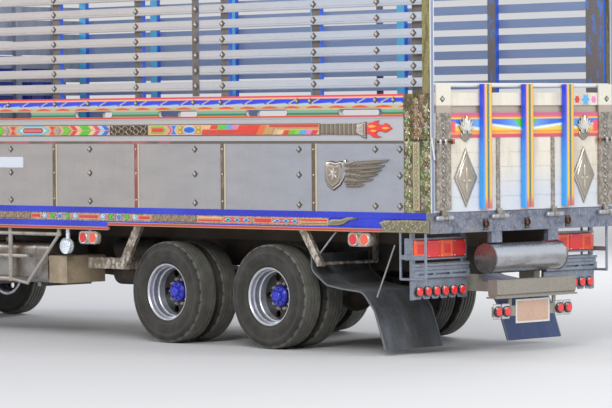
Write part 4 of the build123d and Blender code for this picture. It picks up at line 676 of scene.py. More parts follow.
def rim_paint(name, centre_y):
    """Silver stepped rim with a bright lip, a dark grey disc and a blue hub."""
    finish = Finish(name)
    out = finish.wheel_distance(centre_y)
    hub_edge, disc_edge, step_inner, step_outer, lip_inner = 0.0955, 0.2225, 0.2335, 0.2465, 0.2515
    hub = 1 - out.rise(hub_edge, 0.002)
    disc = 1 - out.rise(disc_edge, 0.003)
    step = out.between(step_inner, step_outer, 0.002)
    lip = out.rise(lip_inner, 0.003)
    grain = finish.noise(14, 4, 0.6).map(0.35, 0.72)
    silver = finish.mix("ecf2ff", "ccd0da", grain)
    dark = finish.mix("1e2126", "34312e", grain)
    rim = finish.layers(silver, (step * 0.5, "8a8e96"), (lip, "ecedf0"),
                        (disc, dark), (hub, finish.mix("2228be", "161c82", grain)))
    rings = (out * 300).sine() * 0.3
    return finish.wear(rim, 0.3, 0.25, relief=rings, depth=0.0012, metallic=(1 - disc) * 0.6 + 0.1)


def chassis_paint(name, colour, second, rough=0.55, dust=0.6):
    """Dull paint with rust patches of the second colour, and much road dust."""
    finish = Finish(name, Metallic=0.2)
    rust = finish.noise(5, 5, 0.65).map(0.5, 0.72)
    return finish.wear(finish.mix(colour, second, rust), rough, dust)


def spring_steel():
    """Leaf packs: a dark line between the leaves, which follow the spring's arc."""
    finish = Finish("spring_steel", Metallic=0.4)
    tandem = (WHEEL_Y["mid_tyres"] + WHEEL_Y["rear_tyres"]) / 2
    rear = finish.y.rise(0, 0.1)
    from_rear = finish.y - tandem
    from_front = finish.y - WHEEL_Y["front_tyre"]
    rear_bend, front_bend = -0.06, 0.28
    arc = from_rear ** 2 * rear_bend * rear + from_front ** 2 * front_bend * (1 - rear)
    thickness = 0.014
    across = abs(((finish.z - arc) % thickness) / thickness - 0.5)
    line = 1 - across.rise(0.1, 0.1)
    colour = finish.mix("463e38", "181616", line)
    return finish.wear(colour, 0.55, 0.6, relief=across * 2, depth=0.004)


def deck_steel():
    """Wooden planks with dark gaps on top, and worn steel below."""
    finish = Finish("deck_steel", Metallic=0.3)
    plank_half, deck_top = 0.075, 1.262
    across = (finish.x + plank_half) % (2 * plank_half) - plank_half
    plank = abs(across).rise(plank_half - 0.004, 0.003)
    top = finish.z.rise(deck_top, 0.004)
    grain = finish.noise(3, 5, 0.6, (6, 0.6, 1)).map(0.3, 0.75)
    wood = finish.mix("70583e", "968064", grain)
    under = finish.mix("544e48", "706052", grain)
    colour = finish.layers(under, (top, wood), (top * plank, "1e1a16"))
    return finish.wear(colour, 0.62, 0.3, relief=1 - plank * top, depth=0.006)


def drum_steel():
    """Polished steel, bright along its top as a painted highlight and darker below as painted shade, with
    streaks below.
    """
    finish = Finish("drum_steel", Metallic=0.9)
    streak = finish.noise(5, 4, 0.6, (0.5, 3, 3)).map(0.35, 0.72)
    # low marks the lower part: it takes dirt streaks and a painted shade; the bright top above it is a
    # painted highlight
    low = 1 - finish.z.map(0.8, 0.94)
    colour = finish.mix("d8dde6", "969088", streak * low)
    colour = finish.mix(colour, "969492", low * 0.5)
    end_face = 0.474
    end = abs(finish.x).rise(end_face, 0.003)
    colour = finish.mix(colour, "786c60", end * 0.7)
    grain = finish.noise(12, 2, 0.5, (0.06, 1, 1))
    return finish.wear(colour, 0.26, 0.2, relief=grain, depth=0.0003, speckle=0.4)


def tank_metal():
    """The fuel tank's brushed silver, and the tan battery box behind it."""
    finish = Finish("tank_metal")
    tank_back = REAR - 5.18
    box = finish.y.rise(tank_back, 0.01)
    brush = finish.noise(40, 3, 0.6, (1, 0.05, 1))
    grime = finish.noise(3, 5, 0.6).map(0.4, 0.75)
    silver = finish.mix("aaa8a6", "7c6a58", grime)
    tan = finish.mix("c4b296", "96866e", grime)
    return finish.wear(finish.mix(silver, tan, box), 0.36, 0.3, relief=brush, depth=0.001,
                       metallic=(1 - box) * 0.75 + 0.05)


def cab_paint():
    """Gloss blue cab with a cream waist stripe and a red pinstripe."""
    finish = Finish("cab_paint", **{"Coat Weight": 0.8, "Coat Roughness": 0.06})
    z = finish.z
    inner_half, inner_front, inner_back, stripe_low = 1.152, -4.738, -2.882, 1.5
    behind_front = (finish.y - (z - SCREEN_FOOT).most(0) * SCREEN_SLOPE).rise(inner_front)
    inside = ((1 - abs(finish.x).rise(inner_half, 0.002)) * (1 - finish.y.rise(inner_back))
              * behind_front * (1 - z.rise(ROOF - 0.02)))
    above = z - stripe_low
    stripe = above.between(0.0, 0.11, 0.002)
    pin = above.between(-0.03, -0.012, 0.002) + above.between(0.122, 0.134, 0.002)
    tone = finish.mix("1836ce", "1228aa", finish.noise(2, 3).map(0.4, 0.7))
    colour = finish.layers(tone, (stripe, CREAM), (pin, RED), (inside, "7a7e84"))
    return finish.wear(colour, 0.28, 0.16, speckle=0.5)


def interior_vinyl():
    """Grained dark vinyl, blue where it is behind the dash."""
    finish = Finish("interior_vinyl")
    dash_back = -4.1
    grain = finish.cells(240)
    seat = finish.y.rise(dash_back, 0.01)
    colour = finish.mix("34363a", "2c3c60", seat)
    return finish.wear(colour, 0.55, 0.1, relief=grain, depth=0.001)


def bright_metal(name, colour, rough=0.2, dust=0.2):
    """Chrome with fine brush marks."""
    finish = Finish(name, Metallic=0.95)
    return finish.wear(colour, rough, dust, relief=finish.noise(70, 2, 0.5, (1, 0.2, 1)), depth=0.0006)


def enamel(name, metallic=0.0, rough=0.25, coat=0.6):
    """Ornament paint: each face's own colour, kept in the mesh."""
    finish = Finish(name, **{"Metallic": metallic, "Coat Weight": coat, "Coat Roughness": 0.08})
    paint = finish.node("Attribute", {"attribute_name": "paint"}).outputs["Color"]
    relief = finish.cells(120) if metallic else finish.noise(60, 2)
    return finish.wear(paint, rough, 0.1, relief=relief, depth=0.0015, speckle=0.8)


FINISHES = {}


def make_finishes():
    """One material for each finish, and which nodes wear it."""
    wheels = {}
    for part, label in (("front_tyre", "front"), ("mid_tyres", "mid"), ("rear_tyres", "rear")):
        ending = "" if label == "front" else "s"
        rubber = tyre_rubber(f"{label}_tyre_rubber", WHEEL_Y[part])
        silver = rim_paint(f"{label}_rim_paint", WHEEL_Y[part])
        for side in ("left", "right"):
            wheels[f"{label}_tyre{ending}_{side}"] = rubber
            wheels[f"{label}_rim{ending}_{side}"] = silver
    dark = chassis_paint("chassis_paint", "2c2a2a", "523e30")
    axle = chassis_paint("axle_iron", "383432", "604632")
    cast = chassis_paint("cast_iron", "545454", "46382c", 0.6, 0.5)
    bars = chassis_paint("tube_steel", "bab4ac", "8c7a68", 0.4, 0.3)
    cab, glass, tank = cab_paint(), cab_glass(), tank_metal()
    bright = bright_metal("bright_metal", "d6d6d8")
    FINISHES.update(
        wheels,
        spare_wheel=tyre_rubber("spare_rubber", 0, True),
        chassis_frame=dark, front_fenders=dark, air_tanks=dark,
        axles=axle, propeller_shafts=axle, knuckle_left=axle, knuckle_right=axle,
        tie_rod=axle, engine_block=cast, leaf_springs=spring_steel(),
        side_guards=bars, fuel_tank=tank, battery_box=tank,
        exhaust=chassis_paint("exhaust_steel", "78685a", "6e4228"),
        rear_sill=sill_steel(), lamp_frames=frame_steel(), flap_arms=arm_steel(),
        rear_columns=column_steel(), rear_drum=drum_steel(), bed_floor=deck_steel(),
        side_rails=rail_paint(), side_panels=side_panel_paint(),
        rack_slats=slat_paint(), rack_posts=post_paint(),
        front_wall=front_wall_paint(), waist_bands=waist_paint(),
        gate_panel=gate_paint(), gate_posts=gate_post_paint(),
        mud_flaps=flap_rubber(), side_lamps=side_lamp_glass(),
        rear_bumper=plain_paint("bumper_paint", "a09a90", 0.36, 0.3, 0.4),
        number_plate=plate_paint(),
        rear_lamps=lamp_red_glass(),
        front_bumper=bright, grille=bright, mirrors=bright,
        headlamps=headlamp_face(),
        cab_shell=cab, cab_front=cab, cab_back=cab, cab_floor=cab,
        door_left=cab, door_right=cab, cab_interior=interior_vinyl(),
        cab_glass=glass, door_glass_left=glass, door_glass_right=glass,
        ornament_paint=enamel("ornament_paint"),
        ornament_steel=enamel("ornament_steel", 0.6, 0.34, 0.0),
        bright=bright,
        lamp_face=bright_metal("lamp_face", "e2e6ec", 0.08, 0.05),
        rubber_trim=plain_paint("rubber_trim", "1a1a1c", 0.7, 0.2),
        seat_cloth=seat_cloth())


def seat_cloth():
    """Woven blue and grey seat cloth with pale sewn channels."""
    finish = Finish("seat_cloth", **{"Sheen Weight": 0.4})
    weave = ((finish.x * 2400).sine() + (finish.y * 2400).sine() + (finish.z * 2400).sine()) / 3
    channel = abs((finish.x + 0.04) % 0.08 - 0.04).rise(0.036, 0.003)
    tone = finish.mix("2e3e68", "4a546e", finish.noise(5, 3).map(0.35, 0.7))
    colour = finish.layers(tone, (channel, "848a96"), (weave * 0.15, "181e32"))
    return finish.wear(colour, 0.82, 0.1, relief=weave * 0.4 - channel, depth=0.003)


# Modelling helpers

def begin(kind, **size):
    """Adds a primitive with nothing else selected."""
    bpy.ops.object.select_all(action="DESELECT")
    getattr(bpy.ops.mesh, f"primitive_{kind}_add")(**size)
    return bpy.context.object


def take(*objects):
    """Selects these objects alone; the first is the active one."""
    bpy.ops.object.select_all(action="DESELECT")
    for item in objects:
        item.select_set(True)
    bpy.context.view_layer.objects.active = objects[0]


def edit(item):
    """Opens the object in edit mode, with all of it selected."""
    take(item)
    bpy.ops.object.mode_set(mode="EDIT")
    bpy.ops.mesh.select_all(action="SELECT")


def leave():
    bpy.ops.object.mode_set(mode="OBJECT")


def choose(kind, test):
    """In edit mode, selects the vertices, edges or faces that pass the test."""
    bpy.ops.mesh.select_mode(type=kind)
    bpy.ops.mesh.select_all(action="DESELECT")
    mesh = bpy.context.edit_object.data
    cage = bmesh.from_edit_mesh(mesh)
    items = {"VERT": cage.verts, "EDGE": cage.edges, "FACE": cage.faces}[kind]
    for item in items:
        if test(item):
            item.select = True
    cage.select_flush_mode()
    bmesh.update_edit_mesh(mesh)


def extrude(value):
    bpy.ops.mesh.extrude_region_move(TRANSFORM_OT_translate={"value": value})


def outward():
    """In edit mode, merges doubles and turns all faces outwards."""
    bpy.ops.mesh.select_all(action="SELECT")
    bpy.ops.mesh.remove_doubles(threshold=0.00002)
    bpy.ops.mesh.normals_make_consistent(inside=False)


def modify(item, kind, **settings):
    """Adds a modifier with these settings and applies it."""
    take(item)
    modifier = item.modifiers.new(kind.title(), kind)
    for key, value in settings.items():
        setattr(modifier, key, value)
    bpy.ops.object.modifier_apply(modifier=modifier.name)


def settle(item, matrix=None):
    """Puts an object's place into its mesh, moved by the matrix, and leaves it at the origin."""
    bpy.context.view_layer.update()
    place = item.matrix_world.copy()
    item.data.transform(matrix @ place if matrix else place)
    item.matrix_world = Matrix.Identity(4)
    return item


def new_object(name, data):
    """An object in the scene for data that no operator adds."""
    item = bpy.data.objects.new(name, data)
    bpy.context.scene.collection.objects.link(item)
    return item


def copy_of(item, matrix):
    """A copy with its own mesh, moved by the matrix; a mirrored one is turned right side out."""
    twin = new_object(item.name, item.data.copy())
    twin.data.transform(matrix)
    if matrix.determinant() < 0:
        twin.data.flip_normals()
    return twin


def join(items):
    """Joins the objects into the first one."""
    items = list(items)
    if len(items) > 1:
        take(*items)
        bpy.ops.object.join()
    return items[0]


def repeat(item, matrices):
    """The modelled item copied to each place and joined; the first one is used up."""
    twins = [copy_of(item, matrix) for matrix in matrices]
    bpy.data.objects.remove(item)
    return join(twins)


MIRROR = Matrix.Scale(-1, 4, (1, 0, 0))


def both_sides(item):
    """The piece joined with its mirror image on the truck's right."""
    return join([item, copy_of(item, MIRROR)])


def tint(item, colour, test=None):
    """Gives the faces that pass the test their own paint, a hex code or linear values."""
    mesh = item.data
    colour = rgb(colour) if isinstance(colour, str) else colour
    layer = mesh.color_attributes.get("paint") or mesh.color_attributes.new(
        name="paint", type="FLOAT_COLOR", domain="CORNER")
    for face in mesh.polygons:
        if test is None or test(face):
            for corner in face.loop_indices:
                layer.data[corner].color = (*colour, 1.0)
    return item


def dress(item, name, body, look, angle=40):
    """Names a finished piece and gives it its body, finish and shading."""
    item.name = name
    item.data.name = name
    item.data.materials.clear()
    item.data.materials.append(FINISHES[look])
    take(item)
    bpy.ops.object.shade_smooth_by_angle(angle=radians(angle))
    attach(item, body)
    return item


def dress_steel(item, name, angle=30, body="chassis"):
    """Dresses a piece of stainless ornament."""
    return dress(item, name, body, "ornament_steel", angle)


def plate(points, thickness, bevel=0.0, colour=None):
    """A flat piece in the XY plane with this outline, extruded along +Z."""
    item = begin("circle", vertices=len(points), radius=1, fill_type="NGON")
    for vertex, (across, up) in zip(item.data.vertices, points):
        vertex.co = (across, up, 0)
    edit(item)
    extrude((0, 0, thickness))
    outward()
    if bevel:
        choose("EDGE", lambda e: all(v.co.z > thickness * 0.99 for v in e.verts))
        bpy.ops.mesh.bevel(offset=bevel, segments=2, affect="EDGES")
    leave()
    if colour:
        tint(item, colour)
    return item


def on_side(ahead=0.0, z=0.0, out=SIDE):
    """From a plate's plane to the left side: its X runs to the rear and its Y up."""
    return Matrix(((0, 0, 1, out), (1, 0, 0, REAR - ahead), (0, 1, 0, z), (0, 0, 0, 1)))


def on_rear(x=0.0, z=0.0, out=REAR):
    """From a plate's plane to the rear face: its X runs to the truck's right and its Y up."""
    return Matrix(((-1, 0, 0, x), (0, 0, 1, out), (0, 1, 0, z), (0, 0, 0, 1)))


def spun(degrees):
    """A turn in a plate's plane."""
    return Matrix.Rotation(radians(degrees), 4, "Z")


def arc_points(centre, radius, start, end, count):
    """Points on an arc, in degrees; radius is a number or an (across, up) pair."""
    wide, high = radius if isinstance(radius, tuple) else (radius, radius)
    angles = [radians(start + (end - start) * i / (count - 1)) for i in range(count)]
    return [(centre[0] + wide * cos(a), centre[1] + high * sin(a)) for a in angles]


def round_points(radius, count):
    """A closed round outline; radius is a number or an (across, up) pair."""
    return arc_points((0, 0), radius, 0, 360 - 360 / count, count)


def rounded(length, height, count=7):
    """A bar with half-round ends, centred."""
    half = (length - height) / 2
    return (arc_points((half, 0), height / 2, -90, 90, count)
            + arc_points((-half, 0), height / 2, 90, 270, count))


def tube(points, radius, sides=12):
    """A bent bar through these points, with closed ends."""
    curve = bpy.data.curves.new("bar", "CURVE")
    curve.dimensions = "3D"
    curve.bevel_depth = radius
    curve.bevel_resolution = sides // 4
    curve.use_fill_caps = True
    spline = curve.splines.new("POLY")
    spline.points.add(len(points) - 1)
    for point, place in zip(spline.points, points):
        point.co = (*place, 1)
    take(new_object("bar", curve))
    bpy.ops.object.convert(target="MESH")
    item = bpy.context.object
    edit(item)
    outward()
    leave()
    return item


def spun_outline(points, steps, axis):
    """An object in edit mode: the closed outline of points, spun once about the axis."""
    item = begin("circle", vertices=len(points), radius=1)
    for vertex, point in zip(item.data.vertices, points):
        vertex.co = point
    edit(item)
    bpy.ops.mesh.spin(steps=steps, angle=2 * pi, center=(0, 0, 0), axis=axis)
    outward()
    return item


def turned(profile, steps, colour):
    """A solid turned about +Z from a closed outline of (radius, height)."""
    item = spun_outline([(radius, 0, height) for radius, height in profile], steps, (0, 0, 1))
    bpy.ops.mesh.delete_loose()
    leave()
    return tint(item, colour)


def ring_of(count, radius):
    """Turned places round a circle in a plate's plane."""
    return [Matrix.Rotation(2 * pi * i / count, 4, "Z") @ Matrix.Translation((radius, 0, 0))
            for i in range(count)]


# Properties

class TruckSizes(bpy.types.PropertyGroup):
    """Sizes and colours of the truck's finish that a user would change."""

    stud_width: bpy.props.FloatProperty(
        name="Stud width", description="Width of a diamond stud", default=0.078, unit="LENGTH")
    stud_height: bpy.props.FloatProperty(
        name="Stud height", description="Height of a diamond stud", default=0.07, unit="LENGTH")
    groove_depth: bpy.props.FloatProperty(
        name="Groove depth", description="Depth of the tyres' grooves", default=0.013,
        unit="LENGTH")
    hub_blue: bpy.props.FloatVectorProperty(
        name="Hub paint", description="Colour of the hub caps", subtype="COLOR", size=3,
        default=rgb("2230cc"))
    floor_colour: bpy.props.FloatVectorProperty(
        name="Floor", description="Colour of the studio floor", subtype="COLOR", size=3,
        default=rgb("d6d6d8"))


# Pieces

class TRUCK_OT_finishes(bpy.types.Operator):
    """Gives every part of the frame its paint, metal, rubber or glass"""

    bl_idname = "truck.finishes"
    bl_label = "Finish the frame"

    def execute(self, context):
        make_finishes()
        for name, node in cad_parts.items():
            node.data.materials.clear()
            node.data.materials.append(FINISHES[name])
        return {"FINISHED"}


def crowned(points, rings, thickness=0.003, lift=0.0012):
    """A plate whose top narrows through rings of (inset, colour) to a crown, for slim leaves."""
    item = plate(points, thickness)
    xs, ys = zip(*points)
    middle = ((min(xs) + max(xs)) / 2, (min(ys) + max(ys)) / 2, 0)
    wide, high = max(xs) - min(xs), max(ys) - min(ys)
    edit(item)
    choose("FACE", lambda face: face.normal.z > 0.9)
    for inset, _ in rings[1:]:
        extrude((0, 0, lift))
        slimmer = (max(0.3, 1 - 2 * inset / wide), max(0.3, 1 - 2 * inset / high), 1)
        bpy.ops.transform.resize(value=slimmer, center_override=middle)
        wide, high = wide * slimmer[0], high * slimmer[1]
    leave()
    tint(item, rings[0][1])
    for level in range(1, len(rings)):
        edge = thickness + lift * (level - 0.75)
        tint(item, rings[level][1], lambda face: face.center.z > edge)
    return item


def leaf(length, width, dark, middle, thickness=0.002, lift=0.0022, count=5):
    """A slim raised leaf along +X with a dark foot."""
    rings = ((0, dark), (width * 0.14, middle), (width * 0.14, middle))
    return crowned(leaf_points(length, width, count), rings, thickness, lift)


def tyre_profile():
    """(offset, radius) outline of a tyre from bead to bead, with its grooves."""
    half = TYRE_WIDTH / 2
    depth = bpy.context.scene.truck.groove_depth
    right = [(0.078, 0.2525), (0.09, 0.262), (0.096, 0.272), (0.1125, 0.312), (half - 0.0005, 0.35),
             (half - 0.001, 0.378), (0.1155, 0.392), (0.1168, 0.402), (0.1115, 0.43), (0.108, 0.441),
             (0.1045, 0.444), (0.1035, 0.452), (0.099, 0.468), (0.092, 0.4755)]
    ribs = []
    for centre in (0.058, 0.02):
        ribs += [(centre + 0.0065, TYRE_RADIUS - 0.0015), (centre + 0.0035, TYRE_RADIUS - depth),
                 (centre - 0.0035, TYRE_RADIUS - depth), (centre - 0.0065, TYRE_RADIUS - 0.0005)]
    outer = right + ribs
    return outer + [(-x, r) for x, r in reversed(outer)]


def tyre_shape(steps=84):
    """One tyre at the origin, its axle along X: a spun outline with zigzag grooves."""
    item = spun_outline([(x, 0, radius) for x, radius in tyre_profile()], steps, (1, 0, 0))
    step = 2 * pi / steps

    def zigzag(vertex):
        place = vertex.co
        turn = round(math.atan2(place.y, place.z) / step)
        return math.hypot(place.y, place.z) > 0.463 and abs(place.x) < 0.07 and turn % 2 == 0

    def shoulder_block(face):
        place = face.calc_center_median()
        turn = round(math.atan2(place.y, place.z) / step - 0.5)
        return (0.0925 < abs(place.x) < 0.1035 and math.hypot(place.y, place.z) > 0.452 and turn % 3 == 0)

    choose("VERT", zigzag)
    bpy.ops.transform.translate(value=(0.004, 0, 0))
    choose("FACE", shoulder_block)
    bpy.ops.mesh.inset(thickness=0.003, depth=-0.006, use_individual=True)
    leave()
    return item


class TRUCK_OT_tyres(bpy.types.Operator):
    """Models a grooved tyre and sets one on every rim"""

    bl_idname = "truck.tyres"
    bl_label = "Tyres"

    def execute(self, context):
        pattern = tyre_shape()
        for side in ("left", "right"):
            for node, body, twin in ((f"front_tyre_{side}", f"front_wheel_{side}", False),
                                     (f"mid_tyres_{side}", f"mid_wheels_{side}", True),
                                     (f"rear_tyres_{side}", f"rear_wheels_{side}", True)):
                low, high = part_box(node)
                ends = [low.x + TYRE_WIDTH / 2, high.x - TYRE_WIDTH / 2]
                places = ends if twin else ends[:1]
                middle_y = (low.y + high.y) / 2
                copies = [copy_of(pattern, Matrix.Translation((x, middle_y, WHEEL_Z))
                                  @ Matrix.Rotation(0.3 * i, 4, "X")) for i, x in enumerate(places)]
                tyre = dress(join(copies), f"treads_{body}", body, node, 32)
                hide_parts(node)
        bpy.data.objects.remove(pattern)
        return {"FINISHED"}


class TRUCK_OT_hubs(bpy.types.Operator):
    """Models the blue hub caps with their bolts, the wheel nuts and the valves"""

    bl_idname = "truck.hubs"
    bl_label = "Hubs and wheel nuts"

    def execute(self, context):
        blue = tuple(context.scene.truck.hub_blue)
        dark_blue = tuple(c * 0.45 for c in blue)
        for side, sign in (("left", 1), ("right", -1)):
            for body, part, face, disc in (
                    (f"front_wheel_{side}", "front_tyre", FRONT_HUB_FACE, FRONT_DISC_FACE),
                    (f"mid_wheels_{side}", "mid_tyres", HUB_FACE, DISC_FACE),
                    (f"rear_wheels_{side}", "rear_tyres", HUB_FACE, DISC_FACE)):
                middle_y = WHEEL_Y[part]

                def axle(out):
                    return Matrix(((0, 0, 1, out), (1, 0, 0, middle_y), (0, 1, 0, WHEEL_Z), (0, 0, 0, 1)))

                cap = turned([(0, 0), (0.09, 0), (0.09, 0.004), (0.084, 0.009), (0.052, 0.011),
                              (0.048, 0.030), (0.04, 0.038), (0, 0.041)], 28, blue)
                bolt = plate(round_points(0.011, 6), 0.012, 0.002, dark_blue)
                bolts = repeat(bolt, [axle(face + 0.008) @ spot for spot in ring_of(8, 0.069)])
                nut = join([plate(round_points(0.015, 6), 0.024, 0.003, "cecac4"),
                            turned([(0, 0), (0.0185, 0), (0.0185, 0.003), (0.015, 0.006),
                                    (0, 0.006)], 16, "968c82"),
                            turned([(0, 0.02), (0.008, 0.02), (0.008, 0.034), (0, 0.036)], 10,
                                   "b0a89e")])
                nuts = repeat(nut, [axle(disc) @ spot for spot in ring_of(10, 0.1195)])
                valve = tube([(disc, middle_y + 0.12, WHEEL_Z + 0.163),
                              (disc + 0.02, middle_y + 0.12, WHEEL_Z + 0.163),
                              (disc + 0.055, middle_y + 0.135, WHEEL_Z + 0.178)], 0.005, 8)
                tint(valve, "c4ba96")
                hub = join([settle(cap, axle(face)), bolts])
                steel = join([nuts, valve])
                if sign < 0:
                    hub, steel = [replace_by_mirror(item) for item in (hub, steel)]
                dress(hub, f"hub_cap_{body}", body, "ornament_paint", 35)
                dress(steel, f"nuts_{body}", body, "ornament_steel", 35)
        return {"FINISHED"}


def replace_by_mirror(item):
    """The piece's mirror image on the right side; the piece itself goes."""
    twin = copy_of(item, MIRROR)
    bpy.data.objects.remove(item)
    return twin


def layered(points, rings, thickness=0.003, lift=0.0012):
    """A plate whose top steps inwards through rings of (inset, colour)."""
    item = plate(points, thickness)
    edit(item)
    choose("FACE", lambda face: face.normal.z > 0.9)
    for inset, _ in rings[1:]:
        bpy.ops.mesh.inset(thickness=inset, depth=lift)
    leave()
    tint(item, rings[0][1])
    for level in range(1, len(rings)):
        edge = thickness + lift * (level - 0.25)
        tint(item, rings[level][1], lambda face: face.center.z > edge)
    return item


def box_points(x0, x1, y0, y1, slant=0.0):
    """A four-sided outline; a slant moves its lower edge along X."""
    return [(x0, y1), (x1, y1), (x1 + slant, y0), (x0 + slant, y0)]


def chevron_points(width, height, point):
    """An arrow band that points along +X, centred."""
    a, b = width / 2, height / 2
    return [(-a, b), (a, b), (a + point, 0), (a, -b), (-a, -b), (-a + point, 0)]


def diamond_points(half, tall):
    """A diamond outline, centred."""
    return [(half, 0), (0, tall), (-half, 0), (0, -tall)]


def bow_points(waist, half, tall):
    """Two wedges that meet at a narrow waist, one above the other."""
    return [(waist, 0), (half, tall), (-half, tall), (-waist, 0), (-half, -tall), (half, -tall)]


def leaf_points(length, width, count=7):
    """A pointed leaf from the origin along +X."""
    upper = [(length * i / count, width / 2 * sin(pi * (i / count) ** 0.75)) for i in range(1, count)]
    lower = [(x, -y) for x, y in reversed(upper)]
    return [(0, 0), *upper, (length, 0), *lower]


def stud_shape():
    """A pointed diamond stud, dark round a pale raised middle."""
    sizes = bpy.context.scene.truck
    half, tall = sizes.stud_width / 2, sizes.stud_height / 2
    rings = ((0, "5c544c"), (0.009, "928a80"), (0.008, "d6d2cc"))
    return layered(diamond_points(half, tall), rings, 0.002, 0.0035)


class TRUCK_OT_studs(bpy.types.Operator):
    """Sets diamond studs in rows on the walls, waist and slats of both sides"""

    bl_idname = "truck.studs"
    bl_label = "Diamond studs"

    def execute(self, context):
        places = [on_side(ahead, z, PANEL_FACE) for ahead in STUD_COLUMNS for z in STUD_ROWS
                  if not (ahead == 0.666 and z == 1.60)]
        narrow = Matrix.Diagonal((0.85, 0.85, 1, 1))
        places += [on_side(ahead, 2.265) @ narrow for ahead in WAIST_STUDS]
        outermost = 2.95
        places += [on_side(ahead, SLAT_LOW + SLAT_HEIGHT / 2 + SLAT_PITCH * i,
                           SIDE if ahead == outermost else PANEL_FACE)
                   for ahead in (*POSTS, outermost, 0.64, 0.2) for i in range(SLAT_COUNT)]
        studs = both_sides(repeat(stud_shape(), places))
        dress_steel(studs, "side_studs", 25)
        rings = ((0, "968c80"), (0.003, "ece6dc"))
        nail = layered(round_points(0.011, 8), rings, 0.002, 0.003)
        nails = both_sides(repeat(nail, [on_side(ahead + 0.008, z) for ahead in POSTS
                                         for z in (1.35, 1.60, 1.83)]))
        dress_steel(nails, "strip_nails")
        return {"FINISHED"}


# How far each level of tiles stands out beyond the one below
TILE_STEP = 0.0034


def strip_tiles():
    """The painted tiles of the ornament strip, each as (ahead, outline, rings, level)."""
    high = STRIP_HEIGHT * 0.42
    brown = "603e2e"
    red, pink, green = "ec3e32", "f08cbe", "54ce18"
    tiles = []

    def lay(ahead, outline, *rings, level=0):
        tiles.append((ahead, outline, rings, level))

    for ahead in (5.80, 4.81, 6.31):
        lay(ahead, chevron_points(0.09, 2 * high, 0.06), (0, TAN), (0.005, green),
            (0.014, "78e032"), level=1)
    for ahead in (5.665, 4.90, 6.18):
        lay(ahead, diamond_points(0.035, high), (0, "78be78"), (0.008, pink),
            (0.008, "be6edc"), level=2)
    for ahead in (5.57, 4.98):
        lay(ahead, bow_points(0.012, 0.055, high), (0, "fabe96"), (0.004, red), level=1)
    hexagon = [(0.245, 0), (0.14, high), (-0.14, high), (-0.245, 0), (-0.14, -high), (0.14, -high)]
    lay(5.27, hexagon, (0, "60c4e2"), (0.011, "aae2ce"), (0.006, "ceecdc"))
    lay(5.27, rounded(0.3, 0.05), (0, brown), (0.006, "e23c3c"), (0.008, "ec6e82"), level=1)
    colours = (red, "fac4a0", green, green, "faceaa", "f0506e", "b4d6f0", "3c6ee2")
    for middle in (4.45, 6.02):
        for i, colour in enumerate(colours):
            start = -0.275 + i * 0.066
            lay(middle, box_points(start, start + 0.064, 0.003, high, 0.05), (0, colour), (0.006, colour))
            lay(middle, box_points(start + 0.05, start + 0.114, -high, -0.003, -0.05),
                (0, colour), (0.006, colour))
    arrow = [(-0.12, high), (0.06, high), (0.12, 0), (0.06, -high), (-0.12, -high)]
    lay(3.46, arrow, (0, "f6be82"), (0.008, green), (0.012, TAN), (0.006, red))
    lay(3.335, chevron_points(0.03, 2 * high, 0.05), (0, "faaabe"), (0.004, red), level=1)
    lay(3.255, bow_points(0.01, 0.042, high), (0, "cee6fa"), (0.003, "4678e8"))
    lay(3.04, box_points(-0.165, 0.165, -high, high), (0, "f4bebe"), (0.008, "ee963c"))
    for across in (-0.125, 0.125):
        for up in (0.022, -0.02):
            lay(3.04 - across, [(x, y + up) for x, y in rounded(0.05, 0.034)],
                (0, "5abe3c"), (0.006, "ecd63c"), level=1)
    lay(3.04, round_points((0.088, 0.04), 16), (0, "d6ecf6"),
        (0.008, "3896ec"), (0.012, "2860dc"), level=1)
    run = ((2.862, -high, 0.002, 0.5, "de4230"), (2.372, -high, high, 0.27, red),
           (2.12, -high, high, 0.12, "f0703a"), (2.012, -high, high, 0.12, TAN),
           (2.86, 0.008, high, 0.115, "fabe8c"), (2.75, 0.008, high, 0.11, red),
           (2.655, 0.008, high, 0.125, "60d228"), (2.545, 0.008, high, 0.09, CYAN),
           (2.465, 0.008, high, 0.07, PINK))
    for index, (ahead, low, up, length, colour) in enumerate(run):
        slant = -0.06 if up - low > 0.06 else -0.02
        lay(ahead, box_points(0, length, low, up, slant), (0, colour), (0.005, colour),
            level=1 if index in (1, 3) else 0)
    low_run = ("f6ce96", red, "60ce28", "78d85a", CYAN, PINK, "e63c46")
    for i, colour in enumerate(low_run):
        lay(1.86 - i * 0.072, box_points(0, 0.07, -high, -0.006, -0.03), (0, colour), (0.004, colour))
    lay(1.89, box_points(0, 0.535, 0.004, 0.02), (0, "f4a05a"), (0.003, TAN))
    lay(2.0, box_points(0.02, 0.645, 0.024, high), (0, red), (0.004, "e23236"), level=2)
    return tiles


# The outline of the torch's flames, from the torch to the rear
FLAME = ((0, .034), (.029, .055), (.068, .058), (.107, .072), (.161, .076), (.136, .058),
         (.149, .039), (.194, .034), (.233, .052), (.277, .034), (.291, .017), (.316, .004),
         (.281, -.012), (.252, -.026), (.213, -.031), (.175, -.018), (.136, -.022),
         (.116, -.039), (.136, -.061), (.184, -.070), (.136, -.080), (.078, -.074),
         (.039, -.048), (0, -.039))


